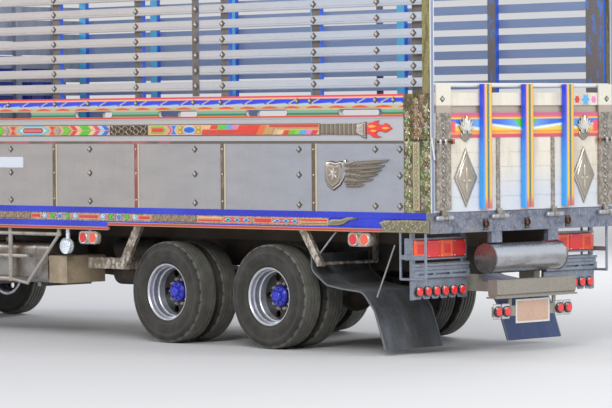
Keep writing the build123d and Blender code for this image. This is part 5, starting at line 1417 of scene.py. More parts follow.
def torch_pieces():
    """The steel torch that ends the strip: ribbed handle, flared head and painted flames."""
    dark = "786c5e"
    ribs = []
    for i in range(17):
        start = 1.34 - i * 0.027
        wide = 0.0135 if i < 8 else 0.018
        tall = 0.047 if i < 8 else 0.05
        points = box_points(0, wide, -tall, tall)
        rib = plate(points, 0.012, 0.004, "b0a494" if i % 2 else "928678")
        ribs.append(settle(rib, on_side(start, STRIP_Z, SIDE - 0.001)))
    core = layered(box_points(0, 0.455, -0.046, 0.046), ((0, dark), (0.012, "a09688")), 0.006)
    ribs.append(settle(core, on_side(1.343, STRIP_Z, SIDE - 0.001)))
    head = [(0, 0.046), (0.04, 0.048), (0.085, 0.06), (0.125, 0.064), (0.12, 0.0),
            (0.125, -0.084), (0.085, -0.078), (0.04, -0.052), (0, -0.05)]
    rings = ((0, dark), (0.008, "c4baae"), (0.01, "786a5c"), (0.006, "cec6bc"))
    ribs.append(settle(layered(head, rings, 0.006, 0.003), on_side(0.889, STRIP_Z)))
    for i in range(3):
        blade = leaf(0.1, 0.03, dark, "d6cec4", 0.004, 0.003)
        ribs.append(settle(blade, on_side(0.885, STRIP_Z - 0.01, SIDE + 0.012) @ spun(28 - 28 * i)))
    rings = ((0, "d81e28"), (0.005, "f63c2c"))
    flames = [settle(layered(FLAME, rings, 0.003, 0.002), on_side(0.765, STRIP_Z + 0.001))]
    for across, size, up in ((0.02, 1.0, 0.024), (0.05, 0.8, -0.016), (0.19, 0.9, 0.008)):
        shape = [(x * size, y * size) for x, y in leaf_points(0.105, 0.026)]
        core = crowned(shape, ((0, ORANGE), (0.006, "fab054")))
        flames.append(settle(core, on_side(0.765 - across, STRIP_Z + up, SIDE + 0.005)))
    return ribs, flames


class TRUCK_OT_strip(bpy.types.Operator):
    """Models the ornament strip above the side panels, with its tiles, steel plates and torch"""

    bl_idname = "truck.strip"
    bl_label = "Ornament strip"

    def execute(self, context):
        edge = ((0, "544236"), (0.006, "deba96"))
        half = STRIP_HEIGHT / 2
        base = layered(box_points(-7.3, -1.343, -half, half), edge, 0.003, 0.001)
        pieces = [settle(base, on_side(0, STRIP_Z))]
        for index, (ahead, points, rings, level) in enumerate(strip_tiles()):
            out = SIDE + 0.0039 + TILE_STEP * level + 0.00012 * (index % 4)
            pieces.append(settle(layered(points, rings, 0.0018, 0.0008), on_side(ahead, STRIP_Z, out)))
        steel, flames = torch_pieces()
        for start, end in ((4.15, 3.61), (6.93, 6.39)):
            rings = ((0, "96826a"), (0.006, "5a4c40"))
            panel = layered(box_points(-start, -end, -0.051, 0.051), rings, 0.005, 0.001)
            steel.append(settle(panel, on_side(0, STRIP_Z)))
            steel += scrolls(start - 0.015, end + 0.015, STRIP_Z, 0.017, SIDE + 0.006, 3)
        pieces += flames
        dress(both_sides(join(pieces)), "strip_paint", "chassis", "ornament_paint", 30)
        dress_steel(both_sides(join(steel)), "strip_steel")
        return {"FINISHED"}


SCROLL_TONES = ("bcae98", "9e8e7a", "ccc2b0")


def scrolls(start, end, z, size, out, rows=2, tones=SCROLL_TONES):
    """Rows of small embossed leaves, turned this way and that."""
    count = max(1, int((start - end) / (size * 2.8)))
    pieces = []
    for step, tone in enumerate(tones):
        places = []
        for i in range(count):
            for row in range(rows):
                if (2 * i + row) % len(tones) != step:
                    continue
                middle = start - (i + 0.5) * (start - end) / count
                up = (row - (rows - 1) / 2) * size * 1.6
                for turn in ((40, 220) if (i + row) % 2 else (140, -40)):
                    places.append(on_side(middle, z + up, out) @ spun(turn + 7 * (i % 3)))
        if places:
            blade = leaf(size * 1.8, size * 0.8, "706456", tone, 0.001)
            pieces.append(repeat(blade, places))
    return pieces


def climb(places_at, low, high, size, pitch, tones, dark):
    """Embossed leaves up a post: places_at gives the matrix for a height."""
    count = int((high - low) / pitch)
    pieces = []
    for step, tone in enumerate(tones):
        places = [places_at(low + (i + 0.5) * (high - low) / count) @ spun(turn + 9 * (i % 3))
                  for i in range(step, count, len(tones)) for turn in (52, 128, -52, -128)]
        if places:
            blade = leaf(size * 1.7, size * 0.8, dark, tone, 0.001, 0.0018, 4)
            pieces.append(repeat(blade, places))
    return pieces


class TRUCK_OT_column_leaves(bpy.types.Operator):
    """Models the stamped leaves, rosettes and middle strip on the rear columns and end stiles"""

    bl_idname = "truck.column_leaves"
    bl_label = "Column ornament"

    def execute(self, context):
        middle, stile_x = 0.17, 1.102
        lower, upper = (1.30, 1.895), (1.925, 2.21)
        steel = []
        for ahead, tones in ((0.282, LEAF_TONES), (0.052, LEAF_TONES[2:] + LEAF_TONES[:2])):
            for low, high in (lower, upper):
                steel += climb(lambda z: on_side(ahead, z, SIDE - 0.0005), low, high, 0.03, 0.042,
                               tones, "544c3a")
        strip = layered(box_points(-0.215, -0.125, 1.29, 1.90), ((0, "685e46"),
                        (0.006, "ccbea2"), (0.012, "beb292")), 0.0015, 0.001)
        steel.append(settle(strip, on_side(0, 0, SIDE)))
        dim = "7c7054"
        # The greenish tones are a painted reflection, as on the columns
        blend = ("b6a48e", "a09e76", "b09486", "96a874")
        steel += climb(lambda z: on_side(middle, z, SIDE + 0.0015), 1.31, 1.89, 0.022, 0.034, blend, dim)
        steel += climb(lambda z: on_side(middle, z), 1.93, 2.21, 0.03, 0.04,
                       ("ac8c7e", "968858", "baa08c"), "5c5038")
        petal = leaf(0.036, 0.018, "60543c", "b8a086", 0.0015, 0.0018, 4)
        steel.append(repeat(petal, [on_side(middle, 2.25) @ spun(45 * i) for i in range(8)]))
        dress_steel(both_sides(join(steel)), "column_leaves")
        tones = ("969088", "827c74", "a29e96")
        pieces = []
        for x in (-stile_x, stile_x):
            pieces += climb(lambda z: on_rear(x, z, REAR + 0.0215), 1.30, 2.13, 0.03, 0.04, tones,
                            "706a62")
        dress_steel(join(pieces), "stile_leaves", 30, "tailgate")
        return {"FINISHED"}


def feather_points(length, width):
    """A wing feather along +X: a straight upper edge and a full lower one."""
    return [(0, width / 2), (length * 0.6, width / 2), (length, width * 0.42),
            (length * 0.93, width * 0.1), (length * 0.78, -width * 0.28),
            (length * 0.5, -width / 2), (0, -width / 2)]


# Each long feather: its root and tip as (ahead, z), and its width
FEATHERS = ((0.97, 1.700, 0.490, 1.724, 0.046), (0.98, 1.660, 0.545, 1.674, 0.044),
            (0.99, 1.622, 0.583, 1.638, 0.042), (0.99, 1.584, 0.629, 1.600, 0.040),
            (1.00, 1.546, 0.685, 1.556, 0.038), (1.02, 1.508, 0.797, 1.506, 0.036))


class TRUCK_OT_rail_strip(bpy.types.Operator):
    """Models the gems, arrows, bars, diamonds and steel leaves in the side rail's groove"""

    bl_idname = "truck.rail_strip"
    bl_label = "Side rail ornament"

    def execute(self, context):
        out = SIDE - 0.0055
        red = "de3c3a"
        pieces, steel = [], []

        def lay(ahead, points, rings, lift=0.0012):
            tile = layered(points, rings, 0.002, lift)
            pieces.append(settle(tile, on_side(ahead, RAIL_STRIP_Z, out)))

        def bar(start, end, colour, low=-0.02, up=0.02):
            lay(start, box_points(0, start - end, low, up), ((0, "fab078"), (0.005, colour)))

        def flower(ahead):
            gem = round_points((0.036, 0.027), 12)
            for side in (-1, 1):
                lay(ahead + side * 0.225, gem, ((0, "cee2ec"), (0.006, "4aaae2"),
                                                (0.008, "d6ecf6")), 0.002)
                lay(ahead + side * 0.16, chevron_points(0.03, 0.05, -side * 0.03),
                    ((0, "fa9682"), (0.006, "ec3228")))
                lay(ahead + side * 0.1, chevron_points(0.045, 0.054, -side * 0.03),
                    ((0, "50aa28"), (0.006, "46d614")))
            lay(ahead, gem, ((0, "c8bedc"), (0.006, "3260e2"), (0.009, "7882f0")), 0.002)

        for middle in MOTIFS:
            flower(middle)
        for start, end in ((5.32, 5.18), (4.62, 4.33), (3.76, 3.60), (6.47, 6.30), (7.2, 7.03)):
            bar(start, end, red)
        bar(2.95, 2.62, red, -0.026, 0.004)
        bar(2.95, 2.62, "f6d660", 0.008, 0.026)
        bar(2.2, 1.97, red, -0.024, 0.024)
        for start, end in ((2.6, 2.24), (1.95, 1.62)):
            bar(start, end, "d65a60", -0.028, 0.028)
            rings = ((0, "3cbed6"), (0.005, "5ad2e2"), (0.006, "2846dc"))
            for i in range(3):
                middle = start - (i + 0.5) * (start - end) / 3
                lay(middle, diamond_points(0.055, 0.022), rings, 0.0025)
        bar(1.6, 1.26, "de3232", 0.0, 0.026)
        bar(1.6, 1.26, "5a8c5a", -0.028, -0.006)
        for start, end in ((5.95, 5.33), (3.58, 2.97), (6.28, 5.97), (7.02, 6.97)):
            panel = layered(box_points(-start, -end, -0.03, 0.03),
                            ((0, "96785c"), (0.005, "b0947c")), 0.002)
            steel.append(settle(panel, on_side(0, RAIL_STRIP_Z, out)))
            steel += scrolls(start, end, RAIL_STRIP_Z, 0.014, out + 0.003)
        plume = [(0, -0.028), (0.12, -0.028), (0.2, -0.012), (0.26, 0.022), (0.345, 0.03),
                 (0.36, 0.045), (0.3, 0.052), (0.24, 0.05), (0.16, 0.03), (0.08, 0.03), (0.02, 0.018)]
        tail = [(0.02, -0.07), (0.6, -0.07), (0.6, 0.042), (0.36, 0.046), (0.2, 0.04), (0.06, 0.038),
                (0, 0.012), (0.035, -0.024)]
        gold = ((0, "7c745c"), (0.006, "b6ae94"), (0.006, "948e76"))
        for outline, ahead, drop in ((plume, 1.25, 0.004), (tail, 0.62, 0.012)):
            steel.append(settle(layered(outline, gold, 0.003, 0.002), on_side(ahead, RAIL_STRIP_Z - drop)))
        steel += scrolls(0.57, 0.04, RAIL_STRIP_Z - 0.026, 0.0175, SIDE + 0.0068, 3,
                         ("b6b098", "928c72", "c8c2ac"))
        dress(both_sides(join(pieces)), "rail_paint_tiles", "chassis", "ornament_paint", 30)
        dress_steel(both_sides(join(steel)), "rail_steel")
        return {"FINISHED"}


class TRUCK_OT_emblem(bpy.types.Operator):
    """Models the embossed shield with its spread feathers on the last side panel"""

    bl_idname = "truck.emblem"
    bl_label = "Winged shield"

    def execute(self, context):
        dark, pale, grey = "544a40", "ded8ce", "7c7266"
        shield_at, shield_z, wing_root = 1.165, 1.61, 1.03
        pieces = []

        def add(shape, ahead, z, out=0.0, turn=0):
            pieces.append(settle(shape, on_side(ahead, z, PANEL_FACE + out) @ spun(turn)))

        shield = [(-.12, .075), (-.1, .112), (-.04, .118), (.02, .106), (.07, .118), (.118, .112),
                  (.128, .04), (.115, -.04), (.08, -.1), (-.012, -.15), (-.085, -.108), (-.118, -.05)]
        rings = ((0, dark), (0.01, pale), (0.01, grey), (0.012, "baaea0"), (0.018, "a09688"))
        add(layered(shield, rings, 0.006, 0.005), shield_at, shield_z)
        for i in range(6):
            curl = leaf(0.07, 0.026, "6e6256", "cec6bc", 0.003, 0.003)
            add(curl, shield_at, shield_z + 0.005, 0.024, 60 * i + 20)
        rings = ((0, dark), (0.003, pale), (0.007, grey), (0.005, "968e82"))
        for index, (root, low, tip, high, width) in enumerate(FEATHERS):
            length, climb_up = root - tip, high - low
            feather = crowned(feather_points(math.hypot(length, climb_up), width), rings, 0.005, 0.004)
            add(feather, root, low, 0.0008 * (6 - index), math.degrees(math.atan2(climb_up, length)))
        rings = ((0, dark), (0.006, "c4bcb0"), (0.007, grey))
        for column in range(3):
            for row in range(4 - column // 2):
                cover = crowned(feather_points(0.12 - 0.012 * row, 0.045), rings, 0.006, 0.004)
                add(cover, wing_root - 0.055 * column, 1.688 - 0.046 * row - 0.006 * column,
                    0.012 - 0.0025 * column, 8 - 4 * row)
        rings = ((0, dark), (0.006, pale), (0.008, "a4a6b0"))
        collar = crowned(round_points((0.026, 0.1), 16), rings, 0.018, 0.004)
        add(collar, wing_root + 0.015, shield_z + 0.03, turn=-14)
        dress_steel(both_sides(join(pieces)), "winged_shield", 35)
        return {"FINISHED"}


class TRUCK_OT_gate(bpy.types.Operator):
    """Models the gate's shells, tall diamonds, studs and small flowers"""

    bl_idname = "truck.gate"
    bl_label = "Tailgate ornament"

    def execute(self, context):
        dark, pale = "6e6254", "e6e4de"
        steel, paint = [], []

        def add(pieces, shape, x, z, out, turn=0):
            pieces.append(settle(shape, on_rear(x, z, REAR + out) @ spun(turn)))

        foot_rings = ((0, dark), (0.008, "bcb09e"), (0.012, "a09686"))
        petal_rings = ((0, dark), (0.006, pale), (0.006, "b4aa9c"), (0.004, pale))
        curl_rings = ((0, dark), (0.006, pale), (0.006, dark), (0.004, pale))
        tall_rings = ((0, "8c8274"), (0.008, "c4beb2"),
                      (0.008, "968c7e"), (0.012, "b2a89a"))
        tall = [(.152, 0), (.066, .142), (0, .262), (-.066, .142), (-.152, 0), (-.066, -.142),
                (0, -.262), (.066, -.142)]
        shell_x, shell_z, diamond_z, flower_z = 0.805, 1.985, 1.576, 2.262
        for x in (-shell_x, shell_x):
            add(steel, crowned(leaf_points(0.11, 0.15, 6), foot_rings, 0.006, 0.004), x, 2.0, 0.008, -90)
            for i in range(7):
                outline = leaf_points(0.14 - 0.006 * abs(i - 3), 0.046)
                add(steel, crowned(outline, petal_rings, 0.004, 0.004), x, shell_z, 0.014 + 0.0008 * i,
                    90 + (i - 3) * 21)
            for across in (-0.035, 0.035):
                curl = layered(round_points(0.026, 16), curl_rings, 0.006, 0.003)
                add(steel, curl, x + across, shell_z - 0.01, 0.018)
            add(steel, layered(tall, tall_rings, 0.002, 0.003), x, diamond_z, 0.006)
            # Ribs on the tall diamond's edges: the one on the truck's left is pale as a painted highlight,
            # the other a little darker
            for sign, tone in ((-1, pale), (1, "beb6aa")):
                slope = math.degrees(math.atan2(0.19, -sign * 0.085))
                rib = leaf(0.2, 0.018, dark, tone, 0.002, 0.003)
                add(steel, rib, x - sign * 0.1, diamond_z - 0.004, 0.015, slope)
            for i, length in enumerate((0.075, 0.12, 0.075, 0.12)):
                blade = leaf(length, 0.034, dark, "c8beae", 0.003, 0.003)
                add(steel, blade, x, 1.55, 0.016, 90 * i)
        studs = [on_rear(x, 2.267, REAR + 0.0205) @ Matrix.Scale(0.9, 4) for x in (-1.12, 1.12)]
        studs += [on_rear(x, z, REAR + 0.058) @ Matrix.Scale(0.4, 4) for x in GATE_POSTS
                  for z in (1.42, 1.66, 1.9, 2.12, 2.33)]
        steel.append(repeat(stud_shape(), studs))
        dress_steel(join(steel), "gate_steel", 35, "tailgate")
        for x, size, colour in ((-0.72, 0.04, RED), (-0.84, 0.056, CYAN), (-0.955, 0.038, PINK)):
            for i in range(6):
                petal = crowned(leaf_points(size, size * 0.7), ((0, "c4a0a0"), (0.004, colour)))
                add(paint, petal, x, flower_z, 0.004 + 0.0003 * (i % 2), 60 * i)
        dress(join(paint), "gate_motifs", "tailgate", "ornament_paint", 35)
        return {"FINISHED"}


class TRUCK_OT_rear_gear(bpy.types.Operator):
    """Models the lamp backs and rims, screws, hinge nuts, rings, rods, latches and sign plates"""

    bl_idname = "truck.rear_gear"
    bl_label = "Lamp rims, latches and rods"

    def execute(self, context):
        pale, steel_grey = "dee0e4", "a8a8aa"
        rust, dark, brown = "583226", "3c322e", "766c66"
        back_z, hinge_z, ring_z = 0.385, 1.23, 1.165
        back = [(x * 0.054, z * 0.068) for x, z in ((-1, -0.85), (-0.85, -1), (0.85, -1), (1, -0.85),
                                                    (1, 0.85), (0.85, 1), (-0.85, 1), (-1, 0.85))]
        backs = [on_rear(x, back_z, REAR + 0.0715) for x in (-0.477, -0.362, 0.362, 0.477)]
        rim = turned([(0.0495, 0), (0.056, 0), (0.056, 0.006), (0.053, 0.0095), (0.0495, 0.008)], 24, pale)
        twins = [on_side(REAR - y + across, z, SIDE - 0.0185) for y, z in TWIN_LAMPS
                 for across in (-0.06875, 0.06875)]
        ring = turned([(0.066, 0), (0.078, 0), (0.078, 0.008), (0.073, 0.014), (0.066, 0.01)], 28, pale)
        clear_y, clear_z = CLEAR_LAMP
        screw = turned([(0, 0), (0.006, 0), (0.0055, 0.002), (0.003, 0.0035), (0, 0.004)], 10, pale)
        screws = [on_rear(sign * (0.546 + 0.16975 * i + across), z, REAR - 0.228)
                  for sign in (-1, 1) for i in range(4) for across in (0.016, 0.148) for z in (0.89, 1.018)]
        screws += [on_rear(x, z, REAR + 0.079) for x in (-0.215, 0.215) for z in (0.29, 0.466)]
        hinge_nut = turned([(0, 0), (0.017, 0), (0.017, 0.008), (0.012, 0.014), (0, 0.015)], 12, pale)
        facing = Matrix.Rotation(radians(90), 4, "Y")
        nuts = [Matrix.Translation((x + across, REAR + 0.03, hinge_z)) @ turn
                for x in (-1.105, -0.373, 0.373, 1.105)
                for across, turn in ((0.094, facing), (-0.094, facing.inverted()))]
        steel = [repeat(layered(back, ((0, steel_grey), (0.005, pale)), 0.003, 0.001), backs),
                 both_sides(repeat(rim, twins)),
                 both_sides(settle(ring, on_side(REAR - clear_y, clear_z, SIDE - 0.018))),
                 repeat(screw, screws), repeat(hinge_nut, nuts)]
        for x in GATE_POSTS:
            pad = layered([(-0.03, -0.05), (0.03, -0.05), (0.03, 0.05), (-0.03, 0.05)],
                          ((0, dark), (0.006, brown)), 0.006, 0.002)
            steel.append(settle(pad, on_rear(x - 0.02, ring_z - 0.005)))
            loop = [(x - 0.02 + across, REAR + 0.016, z)
                    for across, z in arc_points((0, ring_z), (0.026, 0.03), 0, 360, 13)]
            steel.append(tint(tube(loop, 0.0065, 8), rust))
        for sign in (-1, 1):
            for points, radius, colour in (
                    (((1.2, 3.52, 1.09), (1.2, 3.32, 0.897)), 0.008, steel_grey),
                    (((1.2, 4.24, 0.988), (1.2, 4.02, 0.523)), 0.007, steel_grey),
                    (((1.243, REAR + 0.004, 1.93), (1.237, REAR + 0.012, 1.85),
                      (1.224, REAR + 0.02, 1.74)), 0.008, "f0f0f4")):
                placed = [(sign * x, y, z) for x, y, z in points]
                steel.append(tint(tube(placed, radius, 8), colour))
        dress_steel(join(steel), "rear_gear", 35)
        gate = []
        for sign in (-1, 1):
            bar = [(sign * x, REAR + 0.034, LATCH_Z) for x in (0.985, 1.19)]
            gate.append(tint(tube(bar, 0.010, 10), "4a382c"))
            for x, colour in ((1.17, "c8c6c2"), (1.10, "c8c6c2"),
                              (1.0, "ac7658")):
                clip = plate([(-0.014, -0.022), (0.014, -0.022), (0.014, 0.022), (-0.014, 0.022)],
                             0.03, 0.004, colour)
                gate.append(settle(clip, on_rear(sign * x, LATCH_Z, REAR + 0.018)))
        dress_steel(join(gate), "gate_latches", 35, "tailgate")
        sign_plate = layered(box_points(-0.33, 0.33, -0.055, 0.055),
                             ((0, "bec0c8"), (0.004, "e8eefc")), 0.002, 0.0006)
        signs = both_sides(settle(sign_plate, on_side(5.76, 1.70, PANEL_FACE)))
        dress(signs, "blank_signs", "chassis", "ornament_paint", 30)
        return {"FINISHED"}


def screen_y(z):
    """The windscreen's outer face at this height."""
    return CAB_FRONT + 0.006 + (z - SCREEN_FOOT) * SCREEN_SLOPE


def rounded_loop(low, high, corner):
    """(across, up) points of a closed loop with rounded corners, its first point repeated."""
    left, right = low[0] + corner, high[0] - corner
    bottom, top = low[1] + corner, high[1] - corner
    points = []
    for quarter, centre in enumerate(((right, top), (left, top), (left, bottom), (right, bottom))):
        points += arc_points(centre, corner, 90 * quarter, 90 * quarter + 90, 5)
    return [*points, points[0]]


class TRUCK_OT_cab_trim(bpy.types.Operator):
    """Models the window rubbers, wipers, door handles, roof lamps and mirror faces"""

    bl_idname = "truck.cab_trim"
    bl_label = "Cab trim"

    def execute(self, context):
        rubber = []
        screen = rounded_loop((-SCREEN_HALF, SCREEN_LOW), (SCREEN_HALF, SCREEN_HIGH), 0.05)
        rubber.append(tube([(x, screen_y(z) + 0.004, z) for x, z in screen], 0.015, 10))
        back = rounded_loop((-0.52, 1.88), (0.52, 2.33), 0.05)
        rubber.append(tube([(x, CAB_BACK - 0.002, z) for x, z in back], 0.013, 10))
        for start, end in ((-0.72, -0.12), (-0.02, 0.58)):
            foot = (start, screen_y(1.77) - 0.02, 1.765)
            tip = ((start + end) / 2 + 0.08, screen_y(2.16) - 0.024, 2.16)
            rubber.append(tube([foot, (foot[0] + 0.02, foot[1] - 0.012, 1.79), tip], 0.007, 8))
            blade = [(tip[0] - 0.22, screen_y(1.98) - 0.012, 1.98), tip,
                     (tip[0] + 0.22, screen_y(2.34) - 0.012, 2.34)]
            rubber.append(tube(blade, 0.009, 8))
        dress(join(rubber), "cab_rubbers", "cab", "rubber_trim")
        for side, sign in (("left", 1), ("right", -1)):
            y0, y1, z0, z1 = DOOR_WINDOW
            loop = rounded_loop((y0, z0), (y1, z1), 0.04)
            seal = tube([(sign * 1.2, y, z) for y, z in loop], 0.011, 10)
            dress(seal, f"door_seal_{side}", f"door_{side}", "rubber_trim")
            grip_line = ((1.186, -3.815), (1.204, -3.80), (1.206, -3.74), (1.204, -3.68), (1.186, -3.665))
            grip = tube([(sign * x, y, 1.735) for x, y in grip_line], 0.009, 10)
            dress(grip, f"door_handle_{side}", f"door_{side}", "bright")
        rings = ((0, "bebec2"), (0.006, "ec7814"), (0.008, "fa9632"))
        lens = crowned(rounded(0.12, 0.055, 9), rings, 0.006, 0.014)
        spots = [Matrix.Translation((x, -4.47, ROOF - 0.001)) for x in (-0.84, -0.42, 0, 0.42, 0.84)]
        dress(repeat(lens, spots), "roof_lamps", "cab", "ornament_paint")
        mirror_x, mirror_z = 1.33, 2.145
        rim = rounded_loop((-0.08, -0.175), (0.08, 0.175), 0.03)
        rims = [tube([(middle + x, -4.610, mirror_z + z) for x, z in rim], 0.007, 8)
                for middle in (-mirror_x, mirror_x)]
        dress(join(rims), "mirror_rims", "cab", "rubber_trim")
        rings = ((0, "78787c"), (0.004, "d6dee6"))
        glass = layered(rounded_loop((-0.078, -0.173), (0.078, 0.173), 0.03)[:-1], rings, 0.002, 0.0006)
        faces = repeat(glass, [on_rear(x, mirror_z, -4.6105) for x in (-mirror_x, mirror_x)])
        dress(faces, "mirror_faces", "cab", "lamp_face", 30)
        return {"FINISHED"}


def puffed(item):
    """Swells a closed form under cloth pressure, holding every point near its start."""
    modify(item, "REMESH", mode="VOXEL", voxel_size=0.018)
    take(item)
    start = [vertex.co.copy() for vertex in item.data.vertices]
    cloth = item.modifiers.new("Cloth", "CLOTH")
    cloth.settings.use_pressure = True
    cloth.settings.uniform_pressure_force = 4
    cloth.settings.effector_weights.gravity = 0
    scene = bpy.context.scene
    for frame_number in range(1, 21):
        scene.frame_set(frame_number)
    graph = bpy.context.evaluated_depsgraph_get()
    swollen = [vertex.co.copy() for vertex in item.evaluated_get(graph).data.vertices]
    item.modifiers.remove(cloth)
    scene.frame_set(1)
    for vertex, old, new in zip(item.data.vertices, start, swollen):
        step = new - old
        vertex.co = old + step * min(1.0, SEAT_SWELL / max(step.length, 1e-6))
    modify(item, "SUBSURF", levels=1, render_levels=1)
    return item


def pad_shape(low, high, round_off, slope=0.0):
    """A crowned block between two corners, leaning back by the slope."""
    middle = (Vector(low) + Vector(high)) / 2
    size = Vector(high) - Vector(low)
    item = begin("cube", size=1, location=middle)
    item.scale = size
    settle(item)
    edit(item)
    bpy.ops.mesh.bevel(offset=round_off, segments=3, affect="EDGES")
    outward()
    leave()
    for vertex in item.data.vertices:
        vertex.co.y += slope * (vertex.co.z - low[2])
    return item


class TRUCK_OT_seats(bpy.types.Operator):
    """Models the dash, steering wheel and padded seats inside the cab"""

    bl_idname = "truck.seats"
    bl_label = "Seats and dash"

    def execute(self, context):
        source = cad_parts["cab_interior"]
        dash = source.copy()
        dash.data = source.data.copy()
        bpy.context.scene.collection.objects.link(dash)
        edit(dash)
        bpy.ops.mesh.remove_doubles(threshold=0.00002)
        choose("FACE", lambda face: face.calc_center_median().y > SEAT_FRONT - 0.01)
        bpy.ops.mesh.delete(type="FACE")
        leave()
        dress(dash, "dash_and_wheel", "cab", "cab_interior", 35)
        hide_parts("cab_interior")
        base = pad_shape((-0.2, SEAT_FRONT + 0.08, 1.131), (0.2, SEAT_FRONT + SEAT_DEPTH - 0.06, 1.485),
                         0.02)
        tint(base, "343438")
        stay_line = ((-3.56, 1.46), (-3.475, 1.60), (-3.43, 1.90))
        stays = [tint(tube([(x, y, z) for y, z in stay_line], 0.012), "3c3c40") for x in (-0.16, 0.16)]
        bases = repeat(join([base, *stays]), [Matrix.Translation((x, 0, 0)) for x in (-SEAT_X, SEAT_X)])
        dress(bases, "seat_bases", "cab", "ornament_paint", 35)
        rear = SEAT_FRONT + SEAT_DEPTH
        forms = (("cushion", (-0.245, SEAT_FRONT + 0.015, SEAT_BASE + 0.012),
                  (0.245, rear - 0.015, SEAT_BASE + 0.118), 0.03, 0.0),
                 ("backrest", (-0.235, rear - 0.045, SEAT_BASE + 0.135),
                  (0.235, rear + 0.045, 2.265), 0.03, 0.133))
        for kind, low, high, round_off, slope in forms:
            pattern = puffed(pad_shape(low, high, round_off, slope))
            for side, x in (("left", SEAT_X), ("right", -SEAT_X)):
                pad = copy_of(pattern, Matrix.Translation((x, 0, 0)))
                dress(pad, f"seat_{kind}_{side}", "cab", "seat_cloth", 50)
            bpy.data.objects.remove(pattern)
        return {"FINISHED"}


FLOOR_RADIUS, FLOOR_Z = 140, -0.002
FLOOR_FADE = (13, 42)


def stage_floor(colour):
    """A wide floor disc that fades into a background of the same colour with distance."""
    floor = begin("circle", vertices=96, radius=FLOOR_RADIUS, fill_type="NGON", location=(0, 0, FLOOR_Z))
    edit(floor)
    bpy.ops.mesh.inset(thickness=60)
    leave()
    settle(floor)
    floor.name = "studio_floor"
    finish = Finish("studio_floor", Roughness=0.85)
    shade = finish.mix(colour, tuple(c * 0.97 for c in colour), finish.noise(0.6, 2))
    finish.drive("Base Color", shade)
    far = ((finish.x ** 2 + finish.y ** 2) ** 0.5).map(*FLOOR_FADE)
    glow = finish.node("Emission", {}, {"Color": colour, "Strength": 1.0})
    blend = finish.node("MixShader", {}, [far, finish.shader.outputs["BSDF"], glow.outputs[0]])
    finish.feed(finish.nodes["Material Output"].inputs["Surface"], blend.outputs[0])
    floor.data.materials.append(finish.material)


def stage_world(colour):
    """A pale background for the camera, metal and glass, and a softer one for the light."""
    world = bpy.data.worlds.new("studio")
    bpy.context.scene.world = world
    world.use_nodes = True
    tree = Tree(world.node_tree)
    path = tree.node("LightPath").outputs
    either = {"operation": "MAXIMUM"}
    rays = [path["Is Glossy Ray"], path["Is Transmission Ray"]]
    bounced = tree.node("Math", either, rays).outputs[0]
    seen = tree.node("Math", either, [path["Is Camera Ray"], bounced]).outputs[0]
    light = tree.node("Background", {}, {"Color": (0.94, 0.97, 1.0), "Strength": 0.62})
    view = tree.node("Background", {}, {"Color": colour, "Strength": 1.0})
    mix = tree.node("MixShader", {}, [seen, light.outputs[0], view.outputs[0]])
    tree.node("OutputWorld", {}, {"Surface": mix.outputs[0]})


def stage_light(name, place, target, size, power, colour=(1, 1, 1)):
    """A round soft light at a place, turned to its target; size in metres, power in watts."""
    lamp = bpy.data.lights.new(name, "AREA")
    lamp.shape = "DISK"
    lamp.size = size
    lamp.energy = power
    lamp.color = colour
    item = new_object(name, lamp)
    item.location = place
    item.rotation_euler = (Vector(target) - Vector(place)).to_track_quat("-Z", "Y").to_euler()


# The photograph's camera, solved from the truck's lines: metres, degrees and millimetres
CAMERA_PLACE = (22.385, REAR + 19.344, 2.100)
CAMERA_YAW = 44.6395
CAMERA_PITCH = 1.4696
CAMERA_ROLL = -0.4582
CAMERA_LENS = 194.05


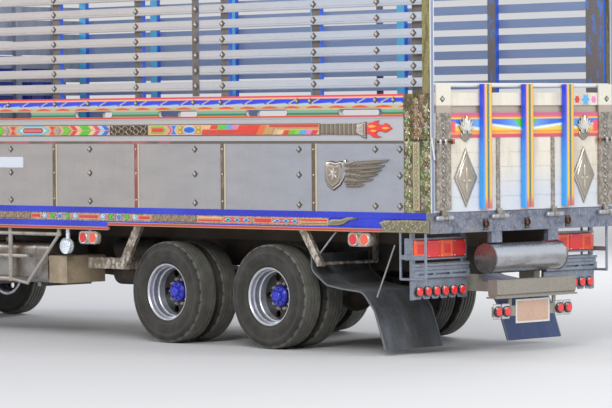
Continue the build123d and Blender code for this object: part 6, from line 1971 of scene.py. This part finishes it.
def stage_camera():
    """The camera at the photograph's place, turn and lens."""
    yaw, pitch, roll = radians(CAMERA_YAW), radians(CAMERA_PITCH), radians(CAMERA_ROLL)
    forward = Vector((-cos(yaw) * cos(pitch), -sin(yaw) * cos(pitch), -sin(pitch)))
    level = Vector((-sin(yaw), cos(yaw), 0))
    rise = level.cross(forward)
    right = level * cos(roll) + rise * sin(roll)
    up = rise * cos(roll) - level * sin(roll)
    data = bpy.data.cameras.new("camera")
    data.sensor_width = 36
    data.lens = CAMERA_LENS
    data.clip_end = 600
    camera = new_object("camera", data)
    rows = [(right[i], up[i], -forward[i], CAMERA_PLACE[i]) for i in range(3)]
    camera.matrix_world = Matrix((*rows, (0, 0, 0, 1)))
    bpy.context.scene.camera = camera


class TRUCK_OT_studio(bpy.types.Operator):
    """Sets up the pale floor, the soft light and the photograph's camera"""

    bl_idname = "truck.studio"
    bl_label = "Studio"

    def execute(self, context):
        colour = tuple(context.scene.truck.floor_colour)
        stage_floor(colour)
        stage_world(colour)
        middle = (0, 0, 1.8)
        stage_light("key", (16, 14, 13), middle, 9, 2300, (1.0, 0.98, 0.95))
        stage_light("rear_fill", (-6, 22, 9), (0, 3, 1.5), 8, 1500, (0.95, 0.98, 1.0))
        stage_light("front_fill", (8, -20, 10), (0, -3, 1.5), 9, 1300)
        stage_light("right_fill", (-18, -2, 10), middle, 9, 1300)
        stage_camera()
        context.scene.view_settings.view_transform = "Standard"
        return {"FINISHED"}


class TRUCK_PT_panel(bpy.types.Panel):
    """Lists the truck's sizes and its steps"""

    bl_label = "Decorated truck"
    bl_idname = "TRUCK_PT_panel"
    bl_space_type = "VIEW_3D"
    bl_region_type = "UI"
    bl_category = "Truck"

    def draw(self, context):
        for name in TruckSizes.__annotations__:
            self.layout.prop(context.scene.truck, name)
        for operator in OPERATORS:
            self.layout.operator(operator.bl_idname)


OPERATORS = (TRUCK_OT_finishes, TRUCK_OT_tyres, TRUCK_OT_hubs, TRUCK_OT_studs, TRUCK_OT_strip,
             TRUCK_OT_rail_strip, TRUCK_OT_column_leaves, TRUCK_OT_emblem, TRUCK_OT_gate,
             TRUCK_OT_rear_gear, TRUCK_OT_cab_trim, TRUCK_OT_seats, TRUCK_OT_studio)
CLASSES = (TruckSizes, *OPERATORS, TRUCK_PT_panel)


def register():
    for item in CLASSES:
        bpy.utils.register_class(item)
    bpy.types.Scene.truck = bpy.props.PointerProperty(type=TruckSizes)


def unregister():
    del bpy.types.Scene.truck
    for item in reversed(CLASSES):
        bpy.utils.unregister_class(item)


def main():
    register()
    for operator in OPERATORS:
        group, name = operator.bl_idname.split(".")
        getattr(getattr(bpy.ops, group), name)()


if __name__ == "__main__":
    main()
